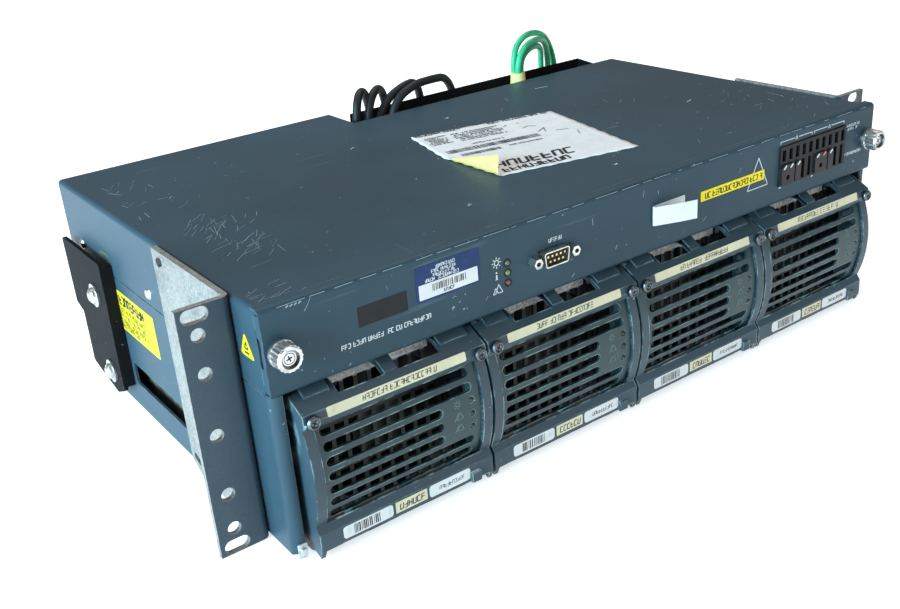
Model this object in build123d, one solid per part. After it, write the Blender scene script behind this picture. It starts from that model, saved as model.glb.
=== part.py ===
from build123d import *
import math
import os

# Rack power shelf, in millimetres. X runs to the right, Z up, and the front faces -Y.
# The origin lies on the underside, midway between the side walls, in the plane of the
# rack rails, where the backs of the two mounting ears bear.

# Chassis, whose width follows the rack standard
ear_span = 482.6
ear_reach = 26.3
width = ear_span - 2 * ear_reach
height = 130.0
bay_height = 87.0
panel_reach = 29.0
depth_left = 236.0
notch_depth = 34.0
depth_right = depth_left - notch_depth
notch_x = -25.0
sheet = 1.5
thin_sheet = 1.2
column_radius = 5.0
bend_radius = 2.5
floor_setback = 14.0
seam_gap = 0.6
edge_gap = 0.25

# Mounting ears, to the rack standard
ear_sheet = 3.0
ear_length = 81.0
ear_bend = 4.0
rack_hole_span = ear_span - 17.5
rack_slot_pitch = 120.65
rack_slot_length = 13.0
rack_slot_height = 7.0
rack_hole_diameter = 6.8
outer_hole_pitch = 101.6
inner_hole_pitch = 63.5
ear_middle = height / 2
ear_margin = 0.5

# Module bays
module_count = 4
module_pitch = (width - 17.2) / module_count
case_width = module_pitch - 2.0
case_front = 17.0
case_lift = 0.3
case_drop = 1.5
case_sheet = 1.0
wall_sheet = 1.0
bay_wall_front = 12.0
backplane_y = depth_right - 13.0
backplane_sheet = 1.6
socket_depth = 10.0
socket_width = 60.0
socket_height = 18.0
socket_z = 30.0
plug_clearance = 0.3
tab_length = 14.0
tab_clearance = 0.1

# Vents in the front of each case
vent_columns = 11
vent_rows = 3
vent_pitch = 7.7
vent_width = 5.4
vent_low = 7.0
vent_high = 81.5
vent_bar = 3.0

# Cooling fan
fan_size = min(case_width - 21.2, bay_height - 7.0)
fan_depth = 20.0
fan_bore = fan_size - 4.0
fan_hub = 15.0
fan_tip_gap = 1.0
fan_shaft = 2.0
shaft_clearance = 0.05
blade_count = 7
blade_pitch = 38.0
blade_thickness = 1.4

# Module handle: a pivoted frame whose curved front carries a grille
handle_width = module_pitch - 1.6
cheek = 2.5
handle_wall = 2.2
handle_back = 18.5
handle_top = 84.5
lug_y = -37.5
lug_z = 74.2
bulge_y = -39.9
bulge_low = 18.0
bar_y = -37.0
bar_bottom = 5.0
bar_top = 14.5
pivot_y = -24.0
pivot_z = 7.0
pin_diameter = 3.8
pin_clearance = 0.08
pivot_tab = 2.2
notch_left = -29.0
notch_right = 28.0
notch_middle = 4.5
pad_rise = 1.1
window_side = 5.6
window_low = 18.4
window_high = 70.4
grille_recess = 1.5
grille_sheet = 1.5
slot_rows = 7
slot_pitch = 7.4
slot_top = 66.2
slot_height = 3.9
slot_left = 8.2 - handle_width / 2
slot_right = handle_width / 2 - 10.4
slot_right_short = handle_width / 2 - 28.8
lamp_x = handle_width / 2 - 11.5
lamp_diameter = 3.2
screw_x = handle_width / 2 - 4.4
screw_z = 74.7
screw_diameter = 3.5
screw_head = 6.8

# Control panel
slit_low = 101.0
slit_high = 116.0
thumbscrew_x = width / 2 - 7.0
thumbscrew_z = 109.0
thumbscrew_diameter = 13.3
thumbscrew_reach = 11.0
thumbscrew_shank = 4.0
running_clearance = 0.08
serial_x = -53.1
serial_z = 107.3
jackscrew_pitch = 25.0
status_x = -81.7
status_z = 106.5
status_pitch = 5.2
status_diameter = 3.0
fuse_x = width / 2 - 91.0
fuse_pitch = 6.2
fuse_positions = 10
fuse_low = 98.0
fuse_high = 122.0
fuse_proud = 1.4
fuse_clearance = 0.3

# Rear leads, terminals and their guard
guard_y = depth_right + 21.0
guard_left = -15.0
guard_right = width / 2 - 17.0
guard_low = 45.0
guard_high = 129.0
guard_lean = 5.0
terminal_x = -17.0
terminal_pitch = 8.0
terminal_ways = 5
terminal_low = 62.0
terminal_high = 80.0
terminal_depth = 17.0
black_lead_diameter = 5.8
green_lead_diameter = 4.6
earth_x = width / 2 - 91.5
earth_y = depth_right + 7.0
earth_z = 108.0
stud_diameter = 6.0
sleeve_low = 117.0
sleeve_high = 134.0

# Side bracket on the left
bracket_stand = 5.0
bracket_sheet = 2.5
bracket_screw_y = 182.0
bracket_screw_z = 47.5
bracket_screw_pitch = 50.0
bracket_screw_diameter = 5.0
rivet_z = 94.2
rivet_diameter = 3.2

half = width / 2
inner_half = half - sheet
panel_face = -panel_reach
panel_back = panel_face + thin_sheet
cover_top = height - thin_sheet
cover_under = cover_top - sheet
deck_under = bay_height + thin_sheet
deck_top = deck_under + thin_sheet
case_bottom = sheet + case_lift
case_top = bay_height - case_drop
case_face = -case_front
case_half = case_width / 2
case_back = backplane_y - socket_depth - plug_clearance
bay_edges = [(k - module_count / 2) * module_pitch for k in range(module_count + 1)]
module_centres = [(k - (module_count - 1) / 2) * module_pitch for k in range(module_count)]
handle_half = handle_width / 2
cheek_inner = handle_half - cheek
window_half = handle_half - window_side


def block(x0, x1, y0, y1, z0, z1):
    """A plain block between two corners."""
    centre = Pos((x0 + x1) / 2, (y0 + y1) / 2, (z0 + z1) / 2)
    return centre * Box(x1 - x0, y1 - y0, z1 - z0)


def outline(*points):
    """A flat face with straight edges."""
    return make_face(Polyline(*points, close=True))


def rounded(face, corner, radius):
    """The face with its corner nearest to a point rounded."""
    return fillet(face.vertices().sort_by_distance(corner)[0], radius)


def along_x(face, x0, x1):
    """A face drawn in (y, z), drawn out from x0 to x1."""
    return extrude(Plane.YZ.offset(x0) * face, amount=x1 - x0, dir=(1, 0, 0))


def along_y(face, y0, y1):
    """A face drawn in (x, z), drawn out from y0 to y1."""
    seat = Plane(origin=(0, y0, 0), x_dir=(1, 0, 0), z_dir=(0, -1, 0))
    return extrude(seat * face, amount=y1 - y0, dir=(0, 1, 0))


def along_z(face, z0, z1):
    """A face drawn in (x, y), drawn out from z0 to z1."""
    return extrude(Plane.XY.offset(z0) * face, amount=z1 - z0, dir=(0, 0, 1))


def rod_x(y, z, radius, x0, x1):
    return Pos((x0 + x1) / 2, y, z) * Rot(0, 90, 0) * Cylinder(radius, x1 - x0)


def rod_y(x, z, radius, y0, y1):
    return Pos(x, (y0 + y1) / 2, z) * Rot(90, 0, 0) * Cylinder(radius, y1 - y0)


def rod_z(x, y, radius, z0, z1):
    return Pos(x, y, (z0 + z1) / 2) * Cylinder(radius, z1 - z0)


def turned(x, z, *points):
    """A turned piece about an axis along Y, from (radius, y) points."""
    return Pos(x, 0, z) * revolve(outline(*points), axis=Axis.Y)


def mirrored(piece):
    """The same piece on the other side of the middle plane."""
    return mirror(piece, about=Plane.YZ)


def both_sides(piece):
    return piece + mirrored(piece)


def save(name, *pieces):
    """Write one node, whose solids stay separate."""
    solids = [solid for piece in pieces for solid in piece.solids()]
    body = solids[0] if len(solids) == 1 else Compound(children=solids)
    export_step(body, f"parts/{name}.step")


def bay_tabs(x, clearance, z0, z1):
    """The two tabs of a bay wall, or with a clearance the slots that take them."""
    reach = backplane_y + bay_wall_front
    pieces = []
    for share in (0.2, 0.8):
        y = share * reach - bay_wall_front
        pieces.append(
            block(
                x - wall_sheet / 2 - clearance,
                x + wall_sheet / 2 + clearance,
                y - tab_length / 2 - clearance,
                y + tab_length / 2 + clearance,
                z0,
                z1,
            )
        )
    return pieces


def bracket_screw_places():
    """Height of each screw of the side bracket."""
    step = bracket_screw_pitch / 2
    return [bracket_screw_z + step, bracket_screw_z - step]


def ear_screw_places():
    """Where each ear is screwed to the chassis from inside, in (y, z)."""
    return [(y, z) for y in (0.2 * ear_length, 0.75 * ear_length) for z in (0.25 * bay_height, deck_top + 24)]


def base_pan():
    """Floor and side walls, folded from one sheet, with a rolled column at each front edge."""
    outer = Pos(0, bay_height / 2) * Rectangle(width, bay_height)
    outer = fillet(outer.vertices().group_by(Axis.Y)[0], bend_radius)
    hollow = Pos(0, sheet + bay_height / 2) * Rectangle(2 * inner_half, bay_height)
    hollow = fillet(hollow.vertices().group_by(Axis.Y)[0], bend_radius - sheet)
    column_y = panel_back + column_radius
    pan = along_y(outer - hollow, column_y, depth_left)
    pan -= block(notch_x, half + 1, depth_right, depth_left + 1, -1, bay_height + 1)
    pan -= block(-inner_half + 1, inner_half - 1, column_y - 1, -floor_setback, -1, bend_radius + 1)
    quarter = Pos(half - column_radius, column_y) * (
        Circle(column_radius) - Circle(column_radius - sheet)
    )
    corner = Pos(half - column_radius / 2, column_y - column_radius / 2)
    quarter = quarter & (corner * Rectangle(column_radius, column_radius))
    column = along_z(quarter, bend_radius, bay_height)
    lip_x = half - column_radius
    column += block(lip_x - 1, lip_x, panel_back, panel_back + sheet, bend_radius, bay_height)
    pan += column + mirrored(column)
    slot_low, slot_high = 0.22 * bay_height, 0.38 * bay_height
    slot_start, slot_end = ear_length - 6, 0.69 * depth_left
    pan -= block(-half - 1, half + 1, slot_start, slot_end, slot_low, slot_high)
    for x in bay_edges:
        for slot in bay_tabs(x, tab_clearance, -1, sheet + 1):
            pan -= slot
    for z in bracket_screw_places():
        pan -= rod_x(bracket_screw_y, z, bracket_screw_diameter / 2 + 0.1, -half - 1, -inner_half + 1)
    for y, z in ear_screw_places():
        pan -= both_sides(rod_x(y, z, 2.6, inner_half - 1, half + 1))
    return pan


def top_cover():
    """Top and upper sides, folded from one sheet, with a corner cut out at the right rear."""
    side_low = bay_height + seam_gap
    drop = cover_top - side_low
    outer = Pos(0, side_low + drop / 2) * Rectangle(width, drop)
    outer = fillet(outer.vertices().group_by(Axis.Y)[-1], bend_radius)
    hollow = Pos(0, side_low + drop / 2 - sheet) * Rectangle(2 * inner_half, drop)
    hollow = fillet(hollow.vertices().group_by(Axis.Y)[-1], bend_radius - sheet)
    start = panel_back + bend_radius - thin_sheet + edge_gap
    cover = along_y(outer - hollow, start, depth_left)
    cover -= block(notch_x, half + 1, depth_right, depth_left + 1, side_low - 1, height)
    side_front = panel_face + 5 + edge_gap
    cover -= block(-half - 1, half + 1, start - 1, side_front, side_low - 1, cover_under)
    for y, reach in rivet_places():
        cover -= both_sides(rod_x(y, rivet_z, rivet_diameter / 2 + 0.1, inner_half - 1, half + 1))
    for y, z in ear_screw_places():
        cover -= both_sides(rod_x(y, z, 2.6, inner_half - 1, half + 1))
    return cover


def rivet_places():
    """Each side rivet's place along Y, and the face that its head lies on."""
    return [(4.8, half + ear_sheet), (0.46 * depth_left, half), (0.9 * depth_left, half)]


def rivet_group():
    group = []
    for y, face in rivet_places():
        for side in (1, -1):
            if side == 1 and y > depth_right:
                continue
            points = (
                (0, inner_half - thin_sheet - 1.2),
                (rivet_diameter / 2 + 0.9, inner_half - thin_sheet - 1.2),
                (rivet_diameter / 2 + 0.9, inner_half - thin_sheet),
                (rivet_diameter / 2, inner_half - thin_sheet),
                (rivet_diameter / 2, face),
                (3.4, face),
                (2.4, face + 1.1),
                (0, face + 1.4),
            )
            rivet = revolve(outline(*points), axis=Axis.Y)
            group.append(Pos(0, y, rivet_z) * Rot(0, 0, -90 * side) * rivet)
    return group


def front_panel():
    """Painted pan over the control bay, whose top return lies on the cover."""
    top_return = 7.0
    low_return = 12.0
    side_return = 5.0
    tall = height - bay_height
    back = panel_face + low_return
    face = outline(
        (panel_face, bay_height),
        (back, bay_height),
        (back, deck_under),
        (panel_back, deck_under),
        (panel_back, cover_top),
        (panel_face + top_return, cover_top),
        (panel_face + top_return, height),
        (panel_face, height),
    )
    face = rounded(face, (panel_face, height, 0), bend_radius)
    face = rounded(face, (panel_face, bay_height, 0), bend_radius)
    face = rounded(face, (panel_back, cover_top, 0), bend_radius - thin_sheet)
    pan = along_x(face, -half, half)
    side_top = cover_under - edge_gap
    side = block(half - thin_sheet, half, panel_back, panel_face + side_return, deck_under + 1, side_top)
    pan += side + mirrored(side)
    side_end = panel_face + side_return
    pan -= both_sides(block(inner_half - edge_gap, half + 1, side_end, back + 1, bay_height - 1, deck_under + 0.5))
    pan -= both_sides(block(half - 2, half + 1, side_end - 2.6, side_end + 1, slit_low, slit_high))
    inner = thumbscrew_shank / 2 + running_clearance
    pan -= both_sides(rod_y(thumbscrew_x, thumbscrew_z, inner, panel_face - 1, panel_back + 1))
    shell_wide, shell_tall = 17.4, 9.0
    pan -= block(
        serial_x - shell_wide / 2,
        serial_x + shell_wide / 2,
        panel_face - 1,
        panel_back + 1,
        serial_z - shell_tall / 2,
        serial_z + shell_tall / 2,
    )
    for side in (-1, 1):
        x = serial_x + side * jackscrew_pitch / 2
        pan -= rod_y(x, serial_z, 1.6, panel_face - 1, panel_back + 1)
    for k in (-1, 0, 1):
        z = status_z + k * status_pitch
        pan -= rod_y(status_x, z, status_diameter / 2 + 0.1, panel_face - 1, panel_back + 1)
    pan -= block(
        fuse_x - edge_gap,
        fuse_x + fuse_positions * fuse_pitch + edge_gap,
        panel_face - 1,
        panel_back + 1,
        fuse_low - edge_gap,
        fuse_high + edge_gap,
    )
    return pan


def mid_deck():
    """Shelf between the module bays and the control bay, with flanges up its sides."""
    flange_top = deck_top + 10.6
    deck_back = depth_right - sheet
    tab_y = panel_back + 1.4
    deck = block(-inner_half, inner_half, panel_back + edge_gap, deck_back, deck_under, deck_top)
    flange = block(inner_half - thin_sheet, inner_half, panel_face + 6, deck_back, deck_top, flange_top)
    tab = block(
        thumbscrew_x - 8,
        inner_half,
        tab_y,
        tab_y + thin_sheet,
        deck_top,
        thumbscrew_z + 7,
    )
    tab -= rod_y(thumbscrew_x, thumbscrew_z, thumbscrew_shank / 2 + running_clearance, tab_y - 1, tab_y + 3)
    deck += flange + mirrored(flange) + tab + mirrored(tab)
    for x in bay_edges:
        for slot in bay_tabs(x, tab_clearance, deck_under - 1, deck_top + 1):
            deck -= slot
    for y, face in rivet_places():
        hole = rod_x(y, rivet_z, rivet_diameter / 2 + 0.1, inner_half - thin_sheet - 1, inner_half + 1)
        deck -= both_sides(hole)
    return deck


def bay_walls():
    """The five upright sheets between and beside the modules, tabbed into floor and deck."""
    walls = []
    for x in bay_edges:
        wall = block(
            x - wall_sheet / 2, x + wall_sheet / 2, -bay_wall_front, backplane_y, sheet, deck_under
        )
        for tab in bay_tabs(x, 0, 0.2, sheet):
            wall += tab
        for tab in bay_tabs(x, 0, deck_under, deck_top - 0.2):
            wall += tab
        walls.append(wall)
    return walls


def rear_panel():
    """Back of the chassis, folded round the cut-out corner."""
    plan = outline(
        (-inner_half, depth_left),
        (notch_x, depth_left),
        (notch_x, depth_right),
        (inner_half, depth_right),
        (inner_half, depth_right - sheet),
        (notch_x - sheet, depth_right - sheet),
        (notch_x - sheet, depth_left - sheet),
        (-inner_half, depth_left - sheet),
    )
    panel = along_z(plan, sheet, cover_under)
    relief = bend_radius - sheet + 0.1
    for z0, z1 in ((sheet - 1, sheet + relief), (cover_under - relief, cover_under + 1)):
        panel -= both_sides(block(inner_half - relief, inner_half + 1, 0, depth_left + 1, z0, z1))
    panel -= rod_y(earth_x, earth_z, stud_diameter / 2 + 0.1, depth_right - 3, depth_right + 1)
    return panel


def backplane():
    """Board behind the modules that carries their sockets, on posts from the rear panel."""
    board = block(
        bay_edges[0] + 2,
        bay_edges[-1] - 2,
        backplane_y,
        backplane_y + backplane_sheet,
        sheet + 4,
        deck_under - 4,
    )
    post_end = depth_right - sheet
    for x in (0.9 * bay_edges[0], 0, 0.9 * bay_edges[-1]):
        for z in (0.2 * bay_height, 0.8 * bay_height):
            board += rod_y(x, z, 3, backplane_y + backplane_sheet, post_end)
    return board


def module_sockets():
    sockets = []
    plug_x, plug_z = socket_width / 2 - 4, socket_height / 2 - 4
    for x in module_centres:
        socket = block(
            x - socket_width / 2,
            x + socket_width / 2,
            backplane_y - socket_depth,
            backplane_y,
            socket_z - socket_height / 2,
            socket_z + socket_height / 2,
        )
        socket -= block(
            x - plug_x,
            x + plug_x,
            backplane_y - socket_depth - 1,
            backplane_y - 1.5,
            socket_z - plug_z,
            socket_z + plug_z,
        )
        sockets.append(socket)
    return sockets


def terminal_guard():
    """Upright guard over the rear terminals, with a full return at its right end."""
    back = guard_y + sheet
    guard = block(guard_left, guard_right, guard_y, back, guard_low, guard_high)
    foot_x = guard_right - guard_lean
    lean = outline(
        (guard_right, back), (guard_right - sheet, back), (foot_x - sheet, depth_right), (foot_x, depth_right)
    )
    guard += along_z(lean, guard_low, guard_high)
    guard += block(foot_x - 12, foot_x, depth_right, depth_right + sheet, guard_low, guard_high)
    leg_top = terminal_low - 4
    guard += block(guard_left, guard_left + sheet, depth_right, back, guard_low, leg_top)
    guard += block(guard_left, guard_left + 12, depth_right, depth_right + sheet, guard_low, leg_top)
    return guard


def terminal_block():
    """Moulded block on the rear panel, whose ways take the black leads from above."""
    left = terminal_x - terminal_pitch / 2 - 1
    right = left + terminal_ways * terminal_pitch + 2
    body = block(left, right, depth_right, depth_right + terminal_depth, terminal_low, terminal_high)
    front = depth_right + terminal_depth
    for k in range(terminal_ways):
        x = terminal_x + k * terminal_pitch
        body -= rod_y(x, terminal_low + 7, 2.4, front - 4, front + 1)
    return body


def ear(side):
    """Rack ear: an angle whose arm lies on the side wall; its front flange is slotted."""
    ear_edge = ear_span / 2
    arm = half + ear_sheet
    section = outline(
        (half, -ear_sheet), (ear_edge, -ear_sheet), (ear_edge, 0), (arm, 0), (arm, ear_length), (half, ear_length)
    )
    section = rounded(section, (half, -ear_sheet, 0), ear_bend)
    section = rounded(section, (arm, 0, 0), ear_bend - ear_sheet)
    piece = along_z(section, ear_margin, height - ear_margin)
    corner = outline(
        (ear_length - 12, ear_margin - 1), (ear_length + 1, ear_margin - 1), (ear_length + 1, ear_margin + 6.5)
    )
    piece -= along_x(corner, half - 1, arm + 1)
    hole_x = rack_hole_span / 2
    for step in (-rack_slot_pitch / 2, rack_slot_pitch / 2):
        slot = Pos(hole_x, ear_middle + step) * SlotOverall(rack_slot_length, rack_slot_height)
        piece -= along_y(slot, -ear_sheet - 1, 1)
    steps = [0, -outer_hole_pitch / 2, outer_hole_pitch / 2, -inner_hole_pitch / 2, inner_hole_pitch / 2]
    for step in steps:
        piece -= rod_y(hole_x, ear_middle + step, rack_hole_diameter / 2, -ear_sheet - 1, 1)
    for z, tilt in ((height - 6.5, -20), (9.5, 20)):
        hole = Pos(ear_length - 8, z) * Rot(0, 0, tilt) * SlotOverall(8.5, 4.6)
        piece -= along_x(hole, half - 1, arm + 1)
    for y, z in ear_screw_places():
        piece -= rod_x(y, z, 2.1, half - 1, arm - 0.6)
    piece -= rod_x(rivet_places()[0][0], rivet_z, rivet_diameter / 2 + 0.1, half - 1, arm + 1)
    return piece if side > 0 else mirrored(piece)


def ear_screws():
    """Screws from inside the chassis into each ear."""
    group = []
    for y, z in ear_screw_places():
        screw = rod_x(y, z, 2.0, inner_half, half + ear_sheet - 0.9)
        screw += rod_x(y, z, 3.8, inner_half - 2.2, inner_half)
        group += [screw, mirrored(screw)]
    return group


def side_bracket():
    """Black plate that stands off the left wall on two pressed spacers."""
    face = outline(
        (227, 97), (163, 97), (167, 14), (180, 8.3), (218, 16), (216.5, 50.5), (227, 54)
    )
    face = fillet(face.vertices(), 2.0)
    inner = -half - bracket_stand
    plate = along_x(face, inner - bracket_sheet, inner)
    flange = outline((163.2, 94), (165.4, 94), (169.2, 16), (167, 16))
    plate += along_x(flange, inner, -half)
    for z in bracket_screw_places():
        plate += rod_x(bracket_screw_y, z, 5.5, inner, -half)
        hole = bracket_screw_diameter / 2 + 0.1
        plate -= rod_x(bracket_screw_y, z, hole, inner - bracket_sheet - 1, -half + 1)
    return plate


def bracket_screws():
    """Pan-head screws with washers that hold the side bracket."""
    group = []
    outer = -half - bracket_stand - bracket_sheet
    radius = bracket_screw_diameter / 2
    for z in bracket_screw_places():
        washer = rod_x(bracket_screw_y, z, 7.2, outer - 1.2, outer)
        washer -= rod_x(bracket_screw_y, z, radius + 0.2, outer - 2, outer + 1)
        points = (
            (0, -outer + 1.2 + 3.4),
            (2.6, -outer + 1.2 + 3.0),
            (4.6, -outer + 1.2 + 1.6),
            (5.1, -outer + 1.2),
            (radius, -outer + 1.2),
            (radius, inner_half - 3),
            (0, inner_half - 3),
        )
        screw = Rot(0, 0, 90) * revolve(outline(*points), axis=Axis.Y)
        group += [washer, Pos(0, bracket_screw_y, z) * screw]
    return group


def serial_connector():
    """Nine-pin connector: flange and body behind the panel, shell and pins through it."""
    flange = block(serial_x - 15.4, serial_x + 15.4, panel_back, panel_back + 1, serial_z - 6.2, serial_z + 6.2)
    body = block(
        serial_x - 9.5, serial_x + 9.5, panel_back + 1, panel_back + 11, board_top(), serial_z + 5.6
    )
    wide, narrow, tall = 8.45, 7.45, 4.2
    shell_face = outline(
        (serial_x - wide, serial_z + tall),
        (serial_x + wide, serial_z + tall),
        (serial_x + narrow, serial_z - tall),
        (serial_x - narrow, serial_z - tall),
    )
    shell_face = fillet(shell_face.vertices(), 1.4)
    tip = panel_face - 4.6
    shell = along_y(shell_face, tip, panel_back)
    shell -= along_y(offset(shell_face, amount=-0.6), tip - 1, panel_back)
    connector = flange + body + shell
    for side in (-1, 1):
        connector -= rod_y(serial_x + side * jackscrew_pitch / 2, serial_z, 1.6, panel_back - 1, panel_back + 2)
    for row, count in ((1.4, 5), (-1.4, 4)):
        for k in range(count):
            x = serial_x + (k - (count - 1) / 2) * 2.77
            connector += block(x - 0.45, x + 0.45, tip + 0.8, panel_back, serial_z + row - 0.45, serial_z + row + 0.45)
    return connector


def jackscrews():
    """Hexagon jackscrews each side of the serial connector."""
    group = []
    for side in (-1, 1):
        x = serial_x + side * jackscrew_pitch / 2
        hexagon = Pos(x, serial_z) * RegularPolygon(2.9, 6)
        screw = along_y(hexagon, panel_face - 5, panel_face)
        screw += rod_y(x, serial_z, 1.45, panel_face, panel_back + 4)
        screw -= rod_y(x, serial_z, 1.2, panel_face - 6, panel_face - 1)
        group.append(screw)
    return group


def board_top():
    """Upper face of the control board."""
    return deck_top + 5.6


def control_board():
    """Board on four posts, with relays, capacitors and the holder of the status lamps."""
    x0, x1 = status_x - 38, serial_x + 34
    y0, y1 = panel_back + 4, 60.0
    top = board_top()
    board = block(x0, x1, y0, y1, top - 1.6, top)
    for x in (x0 + 5, x1 - 5):
        for y in (y0 + 16, y1 - 5):
            board += rod_z(x, y, 3, deck_top, top - 1.6)
    reach = status_pitch + status_diameter
    board += block(
        status_x - 2.6, status_x + 2.6, panel_back + 1.5, y0 + 6, top, status_z + reach
    )
    for k in range(3):
        x = x0 + 18 + 24 * k
        board += block(x - 8, x + 8, 22, 50, top, top + 12 + 2 * k)
    return board


def status_leds():
    """Three round lamps that show through the panel."""
    lamps = []
    radius = status_diameter / 2
    for k in (-1, 0, 1):
        points = (
            (0, panel_face - 0.8),
            (0.7 * radius, panel_face - 0.6),
            (radius, panel_face),
            (radius, panel_back + 1.5),
            (0, panel_back + 1.5),
        )
        lamps.append(turned(status_x, status_z + k * status_pitch, *points))
    return lamps


def carrier_spans():
    """Each fuse carrier's name with the first of its positions and how many it spans."""
    group = fuse_positions // 2
    return [("fuse_a1", 0, 2), ("fuse_a2", 2, 1), ("fuse_b1", group, 2), ("fuse_b2", group + 2, 1)]


def carrier_face(first, count, grow):
    """Front face of a fuse carrier, with an arched top; grow widens it into its pocket."""
    x0 = fuse_x + first * fuse_pitch + 0.7 - grow
    x1 = fuse_x + (first + count) * fuse_pitch - 0.5 + grow
    low = fuse_low + 1 - grow
    high = (fuse_low + fuse_high) / 2 + 1.0 + grow
    shoulder = 1.6
    return outline(
        (x0, low), (x1, low), (x1, high - shoulder), (x1 - shoulder, high), (x0 + shoulder, high), (x0, high - shoulder)
    )


def fuse_block():
    """Moulded ten-way fuse block: upper inspection slots, lower pockets for the carriers."""
    right = fuse_x + fuse_positions * fuse_pitch
    nose = panel_face - fuse_proud
    back = panel_back + 30
    body = block(fuse_x - 3, right + 3, panel_back, back, deck_top, fuse_high + 2)
    body += block(fuse_x, right, nose, panel_back, fuse_low, fuse_high)
    middle = (fuse_low + fuse_high) / 2
    for k in range(fuse_positions):
        x = fuse_x + (k + 0.5) * fuse_pitch
        body -= block(x - 1.7, x + 1.7, nose - 1, nose + 6, middle + 3.2, fuse_high - 2)
    for name, first, count in carrier_spans():
        pocket = carrier_face(first, count, fuse_clearance)
        body -= along_y(pocket, nose - 1, nose + 22)
        start = first + count
        if count == 1:
            for k in (start, start + 1):
                x = fuse_x + (k + 0.4) * fuse_pitch
                body -= block(x - 1.5, x + 1.5, nose - 1, nose + 8, fuse_low + 1, middle + 1)
    return body


def fuse_carrier(first, count):
    """Pull-out fuse carrier, a slide in its pocket."""
    nose = panel_face - fuse_proud - 1.2
    face = carrier_face(first, count, 0)
    tail = panel_face - fuse_proud + 22 - fuse_clearance
    carrier = along_y(face, nose, tail)
    if count > 1:
        x = fuse_x + (first + 0.5 * count) * fuse_pitch
        carrier -= rod_y(x, fuse_low + 5, 1.6, nose - 1, nose + 4)
    return carrier


def thumbscrew():
    """Fluted thumbscrew: collar on the panel, wide rim and fluted cup, with its shank."""
    radius = thumbscrew_diameter / 2
    shank = thumbscrew_shank / 2
    rim = panel_face - 0.35 * thumbscrew_reach
    tip = panel_face - thumbscrew_reach
    screw = turned(
        thumbscrew_x,
        thumbscrew_z,
        (0, rim),
        (radius, rim),
        (radius, rim + 1.4),
        (0.7 * radius, rim + 1.8),
        (0.7 * radius, panel_face - 0.1),
        (shank, panel_face - 0.1),
        (shank, panel_back + 7),
        (0, panel_back + 8),
    )
    flutes = 18
    points = []
    for k in range(2 * flutes):
        reach = (0.9 if k % 2 else 0.97) * radius
        angle = math.pi * k / flutes
        points.append((thumbscrew_x + reach * math.cos(angle), thumbscrew_z + reach * math.sin(angle)))
    cup = along_y(outline(*points), tip + 0.8, rim)
    cup -= rod_y(thumbscrew_x, thumbscrew_z, 0.66 * radius, tip, rim - 1.6)
    cup += turned(thumbscrew_x, thumbscrew_z, (0, tip + 1.4), (0.5 * radius, tip + 1.4), (0.5 * radius, rim), (0, rim))
    lip = turned(
        thumbscrew_x,
        thumbscrew_z,
        (0.66 * radius, tip),
        (0.84 * radius, tip),
        (0.88 * radius, tip + 0.8),
        (0.66 * radius, tip + 0.8),
    )
    return screw + cup + lip


def earth_stud():
    """Stud through the rear panel, with its inner nut and the outer nut that holds the lug."""
    radius = stud_diameter / 2
    stud = rod_y(earth_x, earth_z, radius, depth_right - sheet - 5, earth_y + 5)
    seat = earth_y - 3.0
    nut = Pos(earth_x, earth_z) * RegularPolygon(5.8, 6)
    stud += along_y(nut, depth_right - sheet - 5, depth_right - sheet)
    stud += along_y(nut, seat, seat + 4.5)
    stud += rod_y(earth_x, earth_z, 6.4, depth_right, earth_y - 4.5)
    return stud


def earth_lug():
    """Ring lug between the nuts of the earth stud, with its barrel standing up."""
    front = earth_y - 4.5
    ring = Pos(earth_x, earth_z) * Circle(6.6)
    ring += Pos(earth_x, (earth_z + sleeve_low) / 2 + 3) * Rectangle(7, sleeve_low - earth_z + 4)
    lug = along_y(ring, front, front + 1.5)
    lug += rod_z(earth_x, earth_y, 3.6, sleeve_low - 2, sleeve_low + 8)
    lug -= rod_y(earth_x, earth_z, stud_diameter / 2 + 0.1, front - 1, front + 3)
    return lug


def lug_sleeve():
    """Tapered insulating sleeve on the lug's barrel, closed round the three green leads."""
    points = ((0, sleeve_low + 1), (6.3, sleeve_low + 1), (5.3, sleeve_high), (0, sleeve_high))
    sleeve = Rot(90, 0, 0) * revolve(outline(*points), axis=Axis.Y)
    sleeve = Pos(earth_x, earth_y, 0) * sleeve
    sleeve -= rod_z(earth_x, earth_y, 3.6, sleeve_low - 2, sleeve_low + 8)
    sleeve -= block(earth_x - 3.6, earth_x + 3.6, earth_y - 7, earth_y - 2.9, sleeve_low, sleeve_low + 8.1)
    return sleeve


def lead(points, diameter):
    """A lead along straight runs, joined by tangent arcs as large as the runs allow."""
    corners = [Vector(*point) for point in points]
    radii = []
    for before, corner, after in zip(corners, corners[1:], corners[2:]):
        run_in, run_out = corner - before, after - corner
        half_turn = math.radians(run_in.get_angle(run_out)) / 2
        radii.append(0.45 * min(run_in.length, run_out.length) / math.tan(half_turn))
    path = FilletPolyline(*corners, radius=radii)
    tube = sweep(Plane(origin=path @ 0, z_dir=path % 0) * Circle(diameter / 2), path=path)
    expected = math.pi * diameter**2 / 4 * path.length
    print(f"lead {path.length:.1f} long, radii {min(radii):.1f} to {max(radii):.1f}", end=", ")
    print(f"volume {tube.volume / expected:.4f} of section times length")
    return tube


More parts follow.
